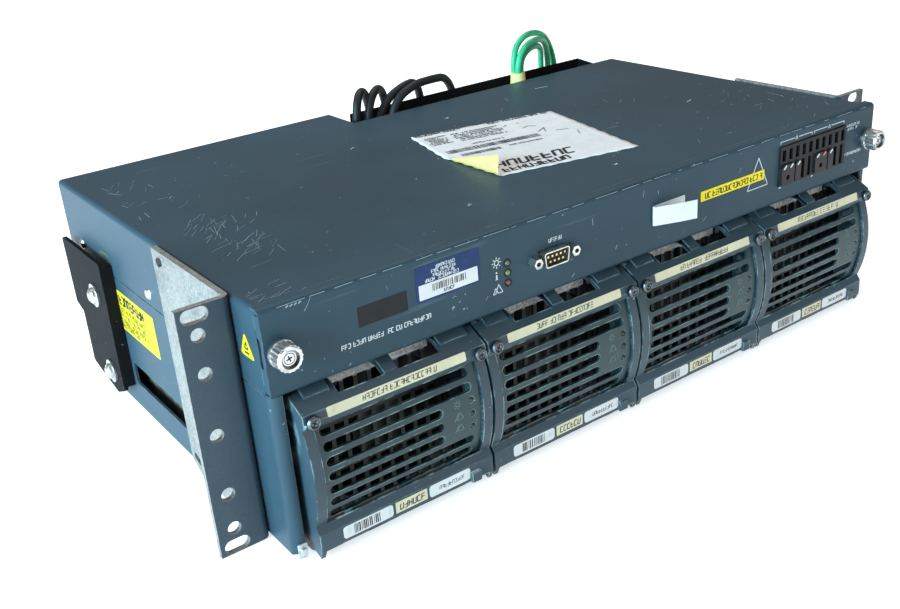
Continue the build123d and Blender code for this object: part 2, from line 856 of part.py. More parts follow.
# Each black lead's points, as steps from the first terminal's upper end
black_steps = [
    [(0, 9, 0), (0, 9, 17), (-2, 8.6, 39), (2, 10, 63), (15, 22, 64)]
    + [(23, 29.6, 46), (25.5, 30, 26), (25, 29.8, 8)],
    [(8, 9, 0), (8, 9, 17), (6.4, 8.4, 39), (13, 10, 62), (29, 22, 63.6)]
    + [(37, 29.6, 45), (38.6, 30, 23), (37.6, 29.8, 2)],
    [(16, 12, 0), (16, 12, 16), (16.4, 12.2, 36), (25, 12, 55), (43, 14, 62.4)]
    + [(59, 22, 61), (67.4, 29.6, 43), (69, 30, 21), (67.6, 29.8, 1)],
    [(24, 6, 0), (24, 6, 16), (22.6, 4.6, 37), (29, 4.2, 56), (46, 5.4, 63.6)]
    + [(67, 12, 62.6), (85, 22, 59.4), (97, 29.6, 43), (101, 30, 21), (100, 29.8, 0)],
]


def black_routes():
    """Routes of the four black leads, from the terminals over and down behind the shelf."""
    routes = []
    for steps in black_steps:
        routes.append([(terminal_x + x, depth_right + y, terminal_high + z) for x, y, z in steps])
    return routes


def green_routes():
    """The three green leads rise from the sleeve, arch to the right and drop behind the guard."""
    x, y, z = earth_x, earth_y, sleeve_high
    return [
        [(x - 1.4, y - 2.5, z), (x - 1.4, y - 2.5, z + 8), (x + 5, y - 2.4, z + 18), (x + 20, y + 2, z + 21)]
        + [(x + 38, y + 12, z + 16), (x + 48, y + 21.4, z - 1), (x + 50, y + 23, z - 20), (x + 49, y + 22.8, z - 38)],
        [(x + 2.9, y - 0.1, z), (x + 2.9, y - 0.1, z + 7), (x + 9, y + 0.6, z + 14), (x + 22, y + 6, z + 15.4)]
        + [(x + 36, y + 15, z + 11), (x + 41.6, y + 22.4, z - 6), (x + 43, y + 23, z - 24), (x + 41.6, y + 22.8, z - 42)],
        [(x - 1.4, y + 2.6, z), (x - 1.4, y + 2.6, z + 8), (x + 3, y + 4.4, z + 19), (x + 18, y + 9, z + 25)]
        + [(x + 40, y + 16, z + 20.6), (x + 54, y + 22.4, z + 3), (x + 57, y + 23, z - 17), (x + 56, y + 22.8, z - 37)],
    ]


def module_case():
    """Hollow sheet case with a vented front, pivot ears and a rear plug."""
    case = block(-case_half, case_half, case_face, case_back, case_bottom, case_top)
    case -= block(
        -case_half + case_sheet,
        case_half - case_sheet,
        case_face + case_sheet,
        case_back - case_sheet,
        case_bottom + case_sheet,
        case_top - case_sheet,
    )
    rows = vent_rows
    tall = (vent_high - vent_low - (rows - 1) * vent_bar) / rows
    for row in range(rows):
        z0 = vent_low + row * (tall + vent_bar)
        for column in range(vent_columns):
            x = (column - (vent_columns - 1) / 2) * vent_pitch
            case -= block(x - vent_width / 2, x + vent_width / 2, case_face - 1, case_face + 2, z0, z0 + tall)
    tab_in = cheek_inner - 0.2 - pivot_tab
    tab_reach = 4.5
    tab_face = outline(
        (pivot_y, pivot_z - tab_reach),
        (case_face, pivot_z - tab_reach),
        (case_face, pivot_z + tab_reach),
        (pivot_y, pivot_z + tab_reach),
    )
    tab = along_x(tab_face, tab_in, tab_in + pivot_tab)
    tab += rod_x(pivot_y, pivot_z, tab_reach, tab_in, tab_in + pivot_tab)
    tab += rod_x(pivot_y, pivot_z, pin_diameter / 2, tab_in, handle_half - 0.1)
    case += tab + mirrored(tab)
    hole = rod_y(screw_x, screw_z, screw_diameter / 2 + 1.3, case_face - 1, case_face + case_sheet + 1)
    case -= hole + mirrored(hole)
    plug_x, plug_z = socket_width / 2 - 4 - plug_clearance, socket_height / 2 - 4 - plug_clearance
    plug_end = backplane_y - 1.5 - plug_clearance
    case += block(-plug_x, plug_x, case_back - case_sheet, plug_end, socket_z - plug_z, socket_z + plug_z)
    return case


def fan_frame():
    """Square fan housing with a round throat, three spokes and the motor seat."""
    front = case_face + case_sheet
    back = front + fan_depth
    middle = (case_bottom + case_top) / 2
    edge = fan_size / 2
    frame = block(-edge, edge, front, back, middle - edge, middle + edge)
    frame -= rod_y(0, middle, fan_bore / 2, front - 1, back + 1)
    hub_back = back - 3
    for angle in (90, 210, 330):
        spoke = Rot(0, angle, 0) * block(0, fan_bore / 2 + 1, hub_back, back, -2, 2)
        frame += Pos(0, 0, middle) * spoke
    frame += rod_y(0, middle, fan_hub, hub_back, back)
    frame += rod_y(0, middle, fan_shaft, front + 4, hub_back)
    for x in (-edge + 4.3, edge - 4.3):
        for z in (middle - edge + 4.3, middle + edge - 4.3):
            frame -= block(x - 1.8, x + 1.8, front - 1, back + 1, z - 1.8, z + 1.8)
    feet_low = block(-edge, -edge + 10, front, back, case_bottom + case_sheet, middle - edge)
    feet = feet_low + mirrored(feet_low)
    return frame + feet


def fan_rotor():
    """Hub and pitched blades, running on the stub shaft of the frame."""
    front = case_face + case_sheet + 2
    back = case_face + case_sheet + fan_depth - 3.6
    middle = (case_bottom + case_top) / 2
    depth = back - front
    tip = fan_bore / 2 - fan_tip_gap
    bow = 1.6
    chord = 0.92 * depth / math.sin(math.radians(blade_pitch))
    outer = ThreePointArc((-chord / 2, 0), (0, bow + blade_thickness), (chord / 2, 0))
    inner = ThreePointArc((chord / 2, 0), (0, bow), (-chord / 2, 0))
    section = make_face(outer + inner)
    blade = extrude(Plane.YZ.offset(fan_hub - 2) * (Rot(0, 0, blade_pitch) * section), amount=tip, dir=(1, 0, 0))
    ring = rod_y(0, 0, tip, -0.49 * depth, 0.49 * depth) - rod_y(0, 0, fan_hub - 1, -depth, depth)
    blade = blade & ring
    rotor = rod_y(0, 0, fan_hub, -depth / 2, depth / 2)
    for k in range(blade_count):
        rotor += Rot(0, 360 * k / blade_count, 0) * blade
    bore = fan_shaft + shaft_clearance
    rotor = Pos(0, (front + back) / 2, middle) * rotor
    rotor -= rod_y(0, middle, bore, front + 1.6, back + 1)
    return rotor


def power_board():
    """The converter's board on posts, with heat sinks, transformers and capacitors."""
    low = case_bottom + case_sheet
    y0, y1 = case_face + case_sheet + fan_depth + 6, case_back - case_sheet - 3
    side = case_half - case_sheet - 3
    board = block(-side, side, y0, y1, low + 5, low + 6.6)
    for x in (-side + 5, side - 5):
        for y in (y0 + 6, y1 - 6):
            board += rod_z(x, y, 2.5, low, low + 5)
    top = low + 6.6
    for x in (-34, 26):
        board += block(x, x + 8, y0 + 10, y1 - 30, top, top + 50)
    board += block(-20, 18, y0 + 14, y0 + 50, top, top + 34)
    board += block(-18, 16, y0 + 64, y0 + 92, top, top + 28)
    for x in (-12, 10):
        board += rod_z(x, y1 - 18, 9, top, top + 36)
    return board


def handle_face():
    """Side view of a handle cheek in (y, z)."""
    top = Polyline(
        (-handle_back, handle_top),
        (-handle_back - 7, handle_top - 0.5),
        (lug_y + 0.9, handle_top - 6.4),
        (lug_y, lug_z),
        (lug_y + 2.4, window_high - 0.6),
    )
    bulge = ThreePointArc(
        (lug_y + 2.4, window_high - 0.6),
        (bulge_y, (window_high - 0.6 + bulge_low) / 2),
        (lug_y + 2.9, bulge_low),
    )
    foot = Polyline(
        (lug_y + 2.9, bulge_low),
        (bar_y, bar_top),
        (bar_y, bar_bottom),
        (bar_y + 1.8, 0.8),
        (pivot_y - 6.2, 2.7),
        (pivot_y - 2, 1.0),
        (-handle_back, 1.0),
        (-handle_back, handle_top),
    )
    face = make_face(top + bulge + foot)
    return rounded(face, (-handle_back, 1.0, 0), 4.4)


def handle_frame():
    """Handle: two cheeks, the sloped head with its screw lugs, the window and the bar."""
    handle = along_x(handle_face(), -handle_half, handle_half)
    back_z = handle_top - handle_wall
    lug_back = lug_y + 2.4 + handle_wall
    top = Polyline(
        (lug_back, window_high + 1),
        (lug_back, lug_z + 3.4),
        (-handle_back - 6.4, back_z - 0.5),
        (-handle_back, back_z),
        (0, back_z),
        (0, -5),
        (bar_y + 3.5, -5),
        (bar_y + 3.5, bulge_low - 1),
    )
    bulge = ThreePointArc(
        (bar_y + 3.5, bulge_low - 1),
        (bulge_y + handle_wall, (window_high + bulge_low) / 2),
        (lug_back, window_high + 1),
    )
    handle -= along_x(make_face(top + bulge), -cheek_inner, cheek_inner)
    handle -= block(-cheek_inner, cheek_inner, bar_y - 5, 0, -5, bar_bottom)
    handle -= block(-window_half, window_half, bulge_y - 5, -handle_back - 6, window_low, window_high)
    for x0, x1 in ((notch_left, -notch_middle), (notch_middle - 1.5, notch_right)):
        handle -= block(x0, x1, -handle_back - 6.8, 0, back_z - 2, handle_top + 1)
    for x0, x1 in ((-handle_half + 5.6, -32), (-notch_middle, notch_middle - 1.5), (29.4, handle_half - 4.8)):
        handle += block(x0, x1, -handle_back - 6.4, -handle_back, back_z + 1, handle_top + pad_rise)
    screw_hole = rod_y(screw_x, screw_z, screw_diameter / 2 + 0.1, lug_y - 2, lug_back + 1)
    relief = rod_y(screw_x, screw_z, screw_diameter / 2 + 1.0, lug_back, 0)
    screw_hole += relief
    handle -= screw_hole + mirrored(screw_hole)
    pivot_hole = rod_x(pivot_y, pivot_z, pin_diameter / 2 + pin_clearance, cheek_inner - 1, handle_half + 1)
    handle -= pivot_hole + mirrored(pivot_hole)
    hook = block(36.5, 42.3, bar_y - 1.6, bar_y, bar_bottom - 0.4, bar_bottom + 5.4)
    return handle + hook


def grille_rows():
    """Each grille slot's height and its right end; the middle three leave room for lamps."""
    rows = []
    for k in range(slot_rows):
        right = slot_right_short if k in (2, 3, 4) else slot_right
        rows.append((slot_top - k * slot_pitch, right))
    return rows


def grille():
    """Curved grille in the handle's window, held by tabs behind its upper and lower edges."""
    low, high = window_low + edge_gap, window_high - edge_gap
    front, back = grille_recess, grille_recess + grille_sheet
    middle = (high + low) / 2
    top_y, low_y = lug_y + 2.9, lug_y + 3.4
    outer = ThreePointArc((top_y + front, high), (bulge_y + front, middle), (low_y + front, low))
    inner = ThreePointArc((low_y + back, low), (bulge_y + back, middle), (top_y + back, high))
    ends = Line((low_y + front, low), (low_y + back, low)) + Line((top_y + back, high), (top_y + front, high))
    side = window_half - edge_gap
    plate = along_x(make_face(outer + inner + ends), -side, side)
    for z, right in grille_rows():
        slot = Pos((slot_left + right) / 2, z) * SlotOverall(right - slot_left, slot_height)
        plate -= along_y(slot, bulge_y - 2, low_y + 9)
    for z, right in grille_rows()[2:5]:
        plate -= rod_y(lamp_x, z + 0.6, lamp_diameter / 2, bulge_y - 2, low_y + 9)
    lug_back = lug_y + 2.4 + handle_wall
    bar_back = bar_y + 3.5
    for x in (-30, 0, 30):
        plate += block(x - 4, x + 4, lug_back, lug_back + 1.2, high - 1.5, high + 4)
        plate += block(x - 4, x + 4, bar_back, bar_back + 1.4, low - 5, low + 1.5)
    return plate


def captive_screws():
    """The two screws that hold the handle shut, each with a head and a retaining collar."""
    radius = screw_diameter / 2
    head_seat = lug_y - 0.1
    lug_back = lug_y + 2.4 + handle_wall + 0.1
    screw = turned(
        screw_x,
        screw_z,
        (0, head_seat - 2.6),
        (0.8 * screw_head / 2, head_seat - 2.6),
        (screw_head / 2, head_seat - 1.8),
        (screw_head / 2, head_seat),
        (radius, head_seat),
        (radius, lug_back),
        (radius + 0.8, lug_back),
        (radius + 0.8, lug_back + 1),
        (radius, lug_back + 1),
        (radius, case_face + 3),
        (0, case_face + 3),
    )
    return [screw, mirrored(screw)]


os.makedirs("parts", exist_ok=True)
save("base_pan", base_pan())
save("top_cover", top_cover())
save("front_panel", front_panel())
save("mid_deck", mid_deck())
save("bay_walls", *bay_walls())
save("rear_panel", rear_panel())
save("backplane", backplane())
save("module_sockets", *module_sockets())
save("terminal_guard", terminal_guard())
save("terminal_block", terminal_block())
save("ear_left", ear(-1))
save("ear_right", ear(1))
save("ear_screws", *ear_screws())
save("cover_rivets", *rivet_group())
save("side_bracket", side_bracket())
save("bracket_screws", *bracket_screws())
save("serial_connector", serial_connector())
save("jackscrews", *jackscrews())
save("control_board", control_board())
save("status_leds", *status_leds())
save("fuse_block", fuse_block())
for fuse_name, first_way, way_count in carrier_spans():
    save(fuse_name, fuse_carrier(first_way, way_count))
save("thumbscrew_right", thumbscrew())
save("thumbscrew_left", mirrored(thumbscrew()))
save("earth_stud", earth_stud())
save("earth_lug", earth_lug())
save("lug_sleeve", lug_sleeve())
save("black_leads", *[lead(route, black_lead_diameter) for route in black_routes()])
save("green_leads", *[lead(route, green_lead_diameter) for route in green_routes()])

module_pieces = {
    "case": [module_case()],
    "fan_frame": [fan_frame()],
    "fan_rotor": [fan_rotor()],
    "power_board": [power_board()],
    "handle_frame": [handle_frame()],
    "grille": [grille()],
    "captive_screws": captive_screws(),
}
for number, centre in enumerate(module_centres, start=1):
    for piece_name, pieces in module_pieces.items():
        save(f"{piece_name}_{number}", *[Pos(centre, 0, 0) * piece for piece in pieces])
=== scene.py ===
# %% [markdown]
# # Dressing a rack power shelf
#
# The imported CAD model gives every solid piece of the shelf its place. This lesson adds what
# CAD leaves out: the camera and light of the photograph, the loose leads, paint and zinc
# finishes, printed labels and small trim. Lengths are given in millimetres and turned into
# metres by one factor, because Blender works in metres.

import math
import random

import bmesh
import bpy
from mathutils import Matrix, Vector


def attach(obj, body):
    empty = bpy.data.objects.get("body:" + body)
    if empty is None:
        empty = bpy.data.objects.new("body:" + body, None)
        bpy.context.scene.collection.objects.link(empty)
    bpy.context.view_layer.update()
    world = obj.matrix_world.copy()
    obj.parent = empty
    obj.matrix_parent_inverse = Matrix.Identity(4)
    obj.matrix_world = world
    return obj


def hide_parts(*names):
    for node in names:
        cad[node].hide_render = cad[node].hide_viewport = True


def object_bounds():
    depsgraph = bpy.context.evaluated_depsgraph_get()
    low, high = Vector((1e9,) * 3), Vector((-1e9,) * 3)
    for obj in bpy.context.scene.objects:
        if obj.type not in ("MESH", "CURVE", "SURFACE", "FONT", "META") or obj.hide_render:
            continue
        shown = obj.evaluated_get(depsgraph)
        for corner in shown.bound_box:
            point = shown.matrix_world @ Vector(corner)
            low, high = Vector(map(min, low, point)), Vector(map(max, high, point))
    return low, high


mm = 0.001
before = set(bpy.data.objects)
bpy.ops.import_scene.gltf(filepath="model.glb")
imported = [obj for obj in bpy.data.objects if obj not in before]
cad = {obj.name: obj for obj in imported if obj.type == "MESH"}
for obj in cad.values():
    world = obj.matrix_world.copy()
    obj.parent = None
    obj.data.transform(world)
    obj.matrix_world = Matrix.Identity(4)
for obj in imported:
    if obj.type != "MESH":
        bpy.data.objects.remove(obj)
cad_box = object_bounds()


def put(name, data):
    """A new object in the scene that shows some data."""
    thing = bpy.data.objects.new(name, data)
    bpy.context.scene.collection.objects.link(thing)
    return thing


print("box", [round(v / mm, 1) for corner in cad_box for v in corner])

# %% [markdown]
# ## The camera
#
# The photograph was taken by hand from the left and above, quite close, so its perspective
# is strong. The eye point, the turn and the focal length were solved from the corners of the
# chassis. Three turn angles are clearer here than a target and a roll.

# %% Set the camera
camera_data = bpy.data.cameras.new("photo_lens")
camera_data.lens = 42.59
camera_data.sensor_width = 36.0
camera_data.clip_start = 0.01
camera_data.clip_end = 60.0
camera = put("photo_camera", camera_data)
camera.location = Vector((-377.57, -408.28, 312.54)) * mm
camera.rotation_euler = [math.radians(angle) for angle in (65.24, 4.103, -36.341)]
bpy.context.scene.camera = camera
print("eye", [round(v, 3) for v in camera.location])

# %% [markdown]
# ## The loose leads
#
# Cut field wiring hangs over the guard at the back: four black power leads from the terminal
# block, and three green earth leads from the crimped sleeve. A lead could be a mesh tube, but
# a NURBS spline with a round bevel bends as smoothly as real cable and keeps its length. Its
# control points are the route that the CAD tube follows. The tube is then kept as a mesh, so
# that its box is exact.

# %% Routes of the leads
black_diameter = 5.8
green_diameter = 4.6
sleeve_x, sleeve_y, sleeve_top = 123.5, 209.0, 134.0
black_routes = [
    [(-17, 211, 80), (-17, 211, 97), (-19, 210.6, 119), (-15, 212, 143),
     (-2, 224, 144), (6, 231.6, 126), (8.5, 232, 106), (8, 231.8, 88)],
    [(-9, 211, 80), (-9, 211, 97), (-10.6, 210.4, 119), (-4, 212, 142),
     (12, 224, 143.6), (20, 231.6, 125), (21.6, 232, 103), (20.6, 231.8, 82)],
    [(-1, 214, 80), (-1, 214, 96), (-0.6, 214.2, 116), (8, 214, 135), (26, 216, 142.4),
     (42, 224, 141), (50.4, 231.6, 123), (52, 232, 101), (50.6, 231.8, 81)],
    [(7, 208, 80), (7, 208, 96), (5.6, 206.6, 117), (12, 206.2, 136), (29, 207.4, 143.6),
     (50, 214, 142.6), (68, 224, 139.4), (80, 231.6, 123), (84, 232, 101), (83, 231.8, 80)],
]
green_steps = [
    [(-1.4, -2.5, 0), (-1.4, -2.5, 8), (5, -2.4, 18), (20, 2, 21),
     (38, 12, 16), (48, 21.4, -1), (50, 23, -20), (49, 22.8, -38)],
    [(2.9, -0.1, 0), (2.9, -0.1, 7), (9, 0.6, 14), (22, 6, 15.4),
     (36, 15, 11), (41.6, 22.4, -6), (43, 23, -24), (41.6, 22.8, -42)],
    [(-1.4, 2.6, 0), (-1.4, 2.6, 8), (3, 4.4, 19), (18, 9, 25),
     (40, 16, 20.6), (54, 22.4, 3), (57, 23, -17), (56, 22.8, -37)],
]
green_routes = [
    [(sleeve_x + x, sleeve_y + y, sleeve_top + z) for x, y, z in steps] for steps in green_steps
]
print("routes", len(black_routes), "black", len(green_routes), "green")


# %% Lay the leads
def make_lead(name, route, diameter, node, lengths):
    """A round tube along a NURBS line; it replaces the CAD tube of the same lead."""
    curve = bpy.data.curves.new(name + "_line", "CURVE")
    curve.dimensions = "3D"
    curve.resolution_u = 9
    spline = curve.splines.new("NURBS")
    spline.points.add(len(route) - 1)
    for point, place in zip(spline.points, route):
        point.co = (*[v * mm for v in place], 1)
    spline.order_u = 3
    spline.use_endpoint_u = True
    line = bpy.data.objects.new(name + "_line", curve)
    path = [v.co.copy() for v in bpy.data.meshes.new_from_object(line).vertices]
    length = sum((b - a).length for a, b in zip(path, path[1:]))
    curve.bevel_depth = diameter / 2 * mm
    curve.bevel_resolution = 5
    curve.use_fill_caps = True
    lead = put(name, bpy.data.meshes.new_from_object(line))
    bpy.data.objects.remove(line)
    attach(lead, "shelf")
    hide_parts(node)
    lengths[name] = round(length / mm, 1)
    return lead


lead_lengths = {}
black_leads = [
    make_lead(f"black_lead_{n}", route, black_diameter, "black_leads", lead_lengths)
    for n, route in enumerate(black_routes, start=1)
]
green_leads = [
    make_lead(f"green_lead_{n}", route, green_diameter, "green_leads", lead_lengths)
    for n, route in enumerate(green_routes, start=1)
]
print("lead lengths, mm", lead_lengths)

# %% [markdown]
# ## Floor and light
#
# The photograph has a white ground with no hard shadow, so one wide pale floor and large
# soft lights do the work. A cool light stands to the left, because the left-facing steel
# looks bluer than the top and the front. Places and sizes of lights are in metres.


# %% Floor
def lay_floor(reach, level):
    """A square of pale ground; its faint glow keeps it as white as the photograph's."""
    mesh = bpy.data.meshes.new("floor")
    corners = [(reach * x, reach * y, level) for x, y in ((-1, -1), (1, -1), (1, 1), (-1, 1))]
    mesh.from_pydata(corners, [], [(0, 1, 2, 3)])
    ground = bpy.data.materials.new("pale_ground")
    ground.use_nodes = True
    inputs = ground.node_tree.nodes["Principled BSDF"].inputs
    inputs["Base Color"].default_value = (0.88, 0.88, 0.88, 1)
    inputs["Roughness"].default_value = 0.9
    inputs["Emission Color"].default_value = (1, 1, 1, 1)
    inputs["Emission Strength"].default_value = 0.62
    mesh.materials.append(ground)
    floor = put("floor", mesh)
    return floor


floor_gap = 0.2
floor = lay_floor(12.0, cad_box[0].z - floor_gap * mm)
print("floor level, mm", round(floor.data.vertices[0].co.z / mm, 2))


# %% Lights
def soft_light(name, place, size, power, colour, target=(0.0, 0.1, 0.07)):
    """A square area light that faces the middle of the shelf."""
    data = bpy.data.lights.new(name, "AREA")
    data.shape = "SQUARE"
    data.size = size
    data.energy = power
    data.color = colour
    lamp = put(name, data)
    lamp.location = place
    lamp.rotation_euler = (Vector(target) - Vector(place)).to_track_quat("-Z", "Y").to_euler()


soft_light("overhead", (0.4, 0.7, 1.9), 1.8, 21, (1.0, 0.97, 0.93))
soft_light("left_window", (-2.0, -0.15, 0.28), 1.5, 165, (0.50, 0.82, 1.0))
soft_light("front_fill", (0.7, -1.9, 0.8), 1.5, 8, (1.0, 0.98, 0.95))
world = bpy.data.worlds.new("pale_room")
bpy.context.scene.world = world
world.use_nodes = True
world.node_tree.nodes["Background"].inputs["Color"].default_value = (1.0, 0.99, 0.97, 1)
world.node_tree.nodes["Background"].inputs["Strength"].default_value = 0.26
bpy.context.scene.view_settings.view_transform = "Standard"
print("lights", len(bpy.data.lights))

# %% [markdown]
# ## Small helpers for materials
#
# Every finish is a small network of nodes. A socket knows the tree that it belongs to, so
# the helpers need only the sockets that they work on. Two helpers add and plug nodes, the
# next ones do sums and mix colours, and the last ones look at the place on the surface.


# %% Add and plug nodes
def plug_all(node, plugs):
    """Links each socket that is given to its input, and sets each plain value there."""
    for key, value in plugs.items():
        if isinstance(value, bpy.types.NodeSocket):
            node.id_data.links.new(value, node.inputs[key])
        else:
            node.inputs[key].default_value = value


def add(neighbour, kind, plugs, **settings):
    """Adds a node to the tree of a node or socket, sets its options and plugs its inputs."""
    node = neighbour.id_data.nodes.new("ShaderNode" + kind)
    for key, value in settings.items():
        setattr(node, key, value)
    plug_all(node, plugs)
    return node


def start_material(name):
    """A new node material with its shader and the place of each point in the row frame."""
    material = bpy.data.materials.new(name)
    material.use_nodes = True
    shader = material.node_tree.nodes["Principled BSDF"]
    return material, shader, add(shader, "TexCoord", {}).outputs["Object"]


# %% Sums, masks and mixed colours
def maths(operation, first, second, third=0.0):
    """A sum on sockets, of which the first has to be one."""
    plugs = {0: first, 1: second, 2: third}
    return add(first, "Math", plugs, operation=operation).outputs["Value"]


def times(first, second):
    return maths("MULTIPLY", first, second)


def rest_of(share):
    """What is left of a share: one minus it."""
    return maths("MULTIPLY_ADD", share, -1.0, 1.0)


def mask(value, low, high):
    """0 below low and 1 above high, or the other way round when low is the larger."""
    plugs = {"Value": value, "From Min": low, "From Max": high}
    return add(value, "MapRange", plugs).outputs["Result"]


def blend(share, first, second):
    """One colour where the share is 0, the other where it is 1."""
    return add(share, "Mix", {0: share, 6: first, 7: second}, data_type="RGBA").outputs[2]


def tint(colour, factor=1.0, lift=0.0):
    """A colour made darker or paler, with the fourth value that sockets want."""
    return [min(1.0, factor * v + lift) for v in colour] + [1]


# %% Patterns on the surface
def noise(place, scale, detail=3.0, roughness=0.55):
    plugs = {"Vector": place, "Scale": scale, "Detail": detail, "Roughness": roughness}
    return add(place, "TexNoise", plugs).outputs["Fac"]


def spots(place, scale, detail, low, high):
    """Random spots and clouds: noise cut off between two levels."""
    return mask(noise(place, scale, detail), low, high)


def stretched(place, scales, turn):
    """The place squeezed along some axes, for scratches."""
    plugs = {"Vector": place, "Scale": scales, "Rotation": (turn, turn, turn)}
    return add(place, "Mapping", plugs).outputs["Vector"]


def along(vector, axis):
    return add(vector, "SeparateXYZ", {"Vector": vector}).outputs[axis]


def face_way(place):
    return add(place, "NewGeometry", {}).outputs["True Normal"]


def edge_share(place, radius):
    """Near 1 at sharp edges: there the rounded normal leaves the face's own normal."""
    rounded = add(place, "Bevel", {"Radius": radius * mm}, samples=6).outputs["Normal"]
    plugs = {0: rounded, 1: face_way(place)}
    agreement = add(place, "VectorMath", plugs, operation="DOT_PRODUCT").outputs["Value"]
    return mask(agreement, 0.96, 0.82)


def add_bump(shader, height, strength, distance):
    plugs = {"Height": height, "Strength": strength, "Distance": distance * mm}
    plug_all(shader, {"Normal": add(shader, "Bump", plugs).outputs["Normal"]})


# %% [markdown]
# ## Painted steel
#
# The chassis is bent sheet with a satin blue-grey coat. Real paint is never one colour: it
# has faint clouds, a fine orange-peel surface, hairline scratches, specks of white dust and
# edges rubbed to bare metal. The edge wear comes from a bevel node, which needs no painted
# map and follows every fold of the sheet. On the handles and grilles the same edge mask has a
# pale teal tone, which is partly rubbed paint and partly a painted highlight along the edges.


# %% Painted steel
def painted(name, colour, bare=(0.42, 0.45, 0.46), roughness=0.42, wear=0.55, scratch=0.35,
            edge=0.7, shine=0.16):
    """Satin paint; bare is the tone at its rubbed edges, bare metal on the chassis and partly a
    painted highlight on the handles and grilles; edge is their width in mm.
    """
    material, shader, place = start_material(name)
    clouds = spots(place, 7.0, 5.0, 0.35, 0.65)
    tone = blend(clouds, tint(colour, 0.86), tint(colour, 1.16))
    long_lines = noise(stretched(place, (9, 260, 260), 0.5), 1.0, 2.0)
    cross_lines = noise(stretched(place, (300, 12, 300), -0.9), 1.0, 2.0)
    hairs = maths("MAXIMUM", mask(long_lines, 0.69, 0.73), mask(cross_lines, 0.71, 0.75))
    scratched = times(hairs, spots(place, 16.0, 2.0, 0.52, 0.66))
    tone = blend(times(scratched, scratch), tone, tint(colour, 2.6, 0.05))
    dust = spots(place, 330.0, 2.0, 0.735, 0.77)
    tone = blend(times(dust, 0.45), tone, (0.55, 0.57, 0.58, 1))
    chips = spots(place, 120.0, 4.0, 0.46, 0.60)
    worn_and_lit_edges = times(edge_share(place, edge), times(chips, wear))
    plug_all(shader, {
        "Base Color": blend(worn_and_lit_edges, tone, tint(bare)),
        "Specular IOR Level": shine,
        "Roughness": maths("MULTIPLY_ADD", clouds, 0.10, roughness - 0.05),
        "Metallic": times(worn_and_lit_edges, 0.7),
    })
    add_bump(shader, noise(place, 1300.0, 2.0), 0.10, 0.2)
    return material


# Handles and grilles: strong edge wear in a pale teal tone, partly rubbed paint and partly a
# painted highlight along their edges and the crests of the grille bars.
handled = {"roughness": 0.36, "wear": 1.0, "scratch": 0.3, "edge": 1.2}
chassis_paint = painted("chassis_paint", (0.031, 0.060, 0.080))
handle_paint = painted(
    "handle_paint", (0.030, 0.056, 0.072), (0.42, 0.56, 0.60), shine=0.4, **handled
)
grille_paint = painted(
    "grille_paint", (0.012, 0.036, 0.040), (0.24, 0.38, 0.39), shine=0.5, **handled
)
black_coat = painted(
    "black_coat", (0.009, 0.009, 0.010), (0.10, 0.10, 0.10), 0.6, 0.35, 0.25, shine=0.05
)
print("painted finishes", len(bpy.data.materials))

# %% [markdown]
# ## Zinc sheet
#
# Galvanised sheet shows crystals of slightly different grey. A Voronoi texture gives one
# random tone for each crystal, and some noise breaks them up. Two pieces have a second layer
# over the zinc: the module cases get painted shade on their fronts below the strip, where the
# grilles shade them, and the ears are painted on their front side only. A function for that
# layer is handed to the zinc.


# %% Galvanised sheet
def galvanised(name, dark, light, crystal, roughness=0.42, metal=0.75, layer=None):
    """Zinc with crystals of a size in mm; layer(shader, place, tone) may lie over it."""
    material, shader, place = start_material(name)
    cells = add(place, "TexVoronoi", {"Vector": place, "Scale": 1 / (crystal * mm)})
    colour = cells.outputs["Color"]
    spangle = add(place, "SeparateColor", {"Color": colour}).outputs[0]
    cloud = noise(place, 45.0, 5.0, 0.65)
    mixed = maths("ADD", times(spangle, 0.45), times(cloud, 0.75))
    tone = blend(mask(mixed, 0.30, 0.80), tint(dark), tint(light))
    stain = spots(place, 18.0, 4.0, 0.58, 0.74)
    tone = blend(times(stain, 0.5), tone, tint(dark, 0.6))
    gloss = maths("MULTIPLY_ADD", spangle, 0.18, roughness)
    plug_all(shader, {"Base Color": tone, "Metallic": metal, "Roughness": gloss})
    add_bump(shader, noise(place, 700.0, 3.0), 0.15, 0.2)
    if layer:
        layer(shader, place, tone)
    return material


zinc_sheet = galvanised("zinc_sheet", (0.34, 0.36, 0.36), (0.66, 0.68, 0.67), 2.2)
inner_zinc = galvanised("inner_zinc", (0.20, 0.17, 0.14), (0.48, 0.44, 0.38), 4.0, 0.38)
# A pale, barely metallic copy of the zinc: its brightness is painted highlight on the strip above
# the vents.
lit_strip_zinc = galvanised(
    "lit_strip_zinc", (0.42, 0.43, 0.43), (0.95, 0.95, 0.93), 1.2, 0.45, metal=0.1
)
print("zinc finishes", 3)


# %% Layers over the zinc
def painted_vent_shade(shader, place, zinc_tone, strip_low=76.5, face_y=-17.0):
    """Painted shade: below the strip under the panel, the front of a case is darkened where the
    grille shades it.
    """
    below = mask(along(place, "Z"), (strip_low + 0.1) * mm, (strip_low - 0.1) * mm)
    in_front = mask(along(place, "Y"), (face_y + 3) * mm, (face_y + 2) * mm)
    shade = times(below, in_front)
    speck = spots(place, 90.0, 4.0, 0.40, 0.70)
    # A near-black tone that stands for the shade behind the grille: painted shade.
    shade_tone = blend(speck, (0.003, 0.0035, 0.004, 1), (0.008, 0.0085, 0.009, 1))
    plug_all(shader, {
        "Base Color": blend(shade, zinc_tone, shade_tone),
        "Metallic": times(rest_of(shade), 0.75),
    })


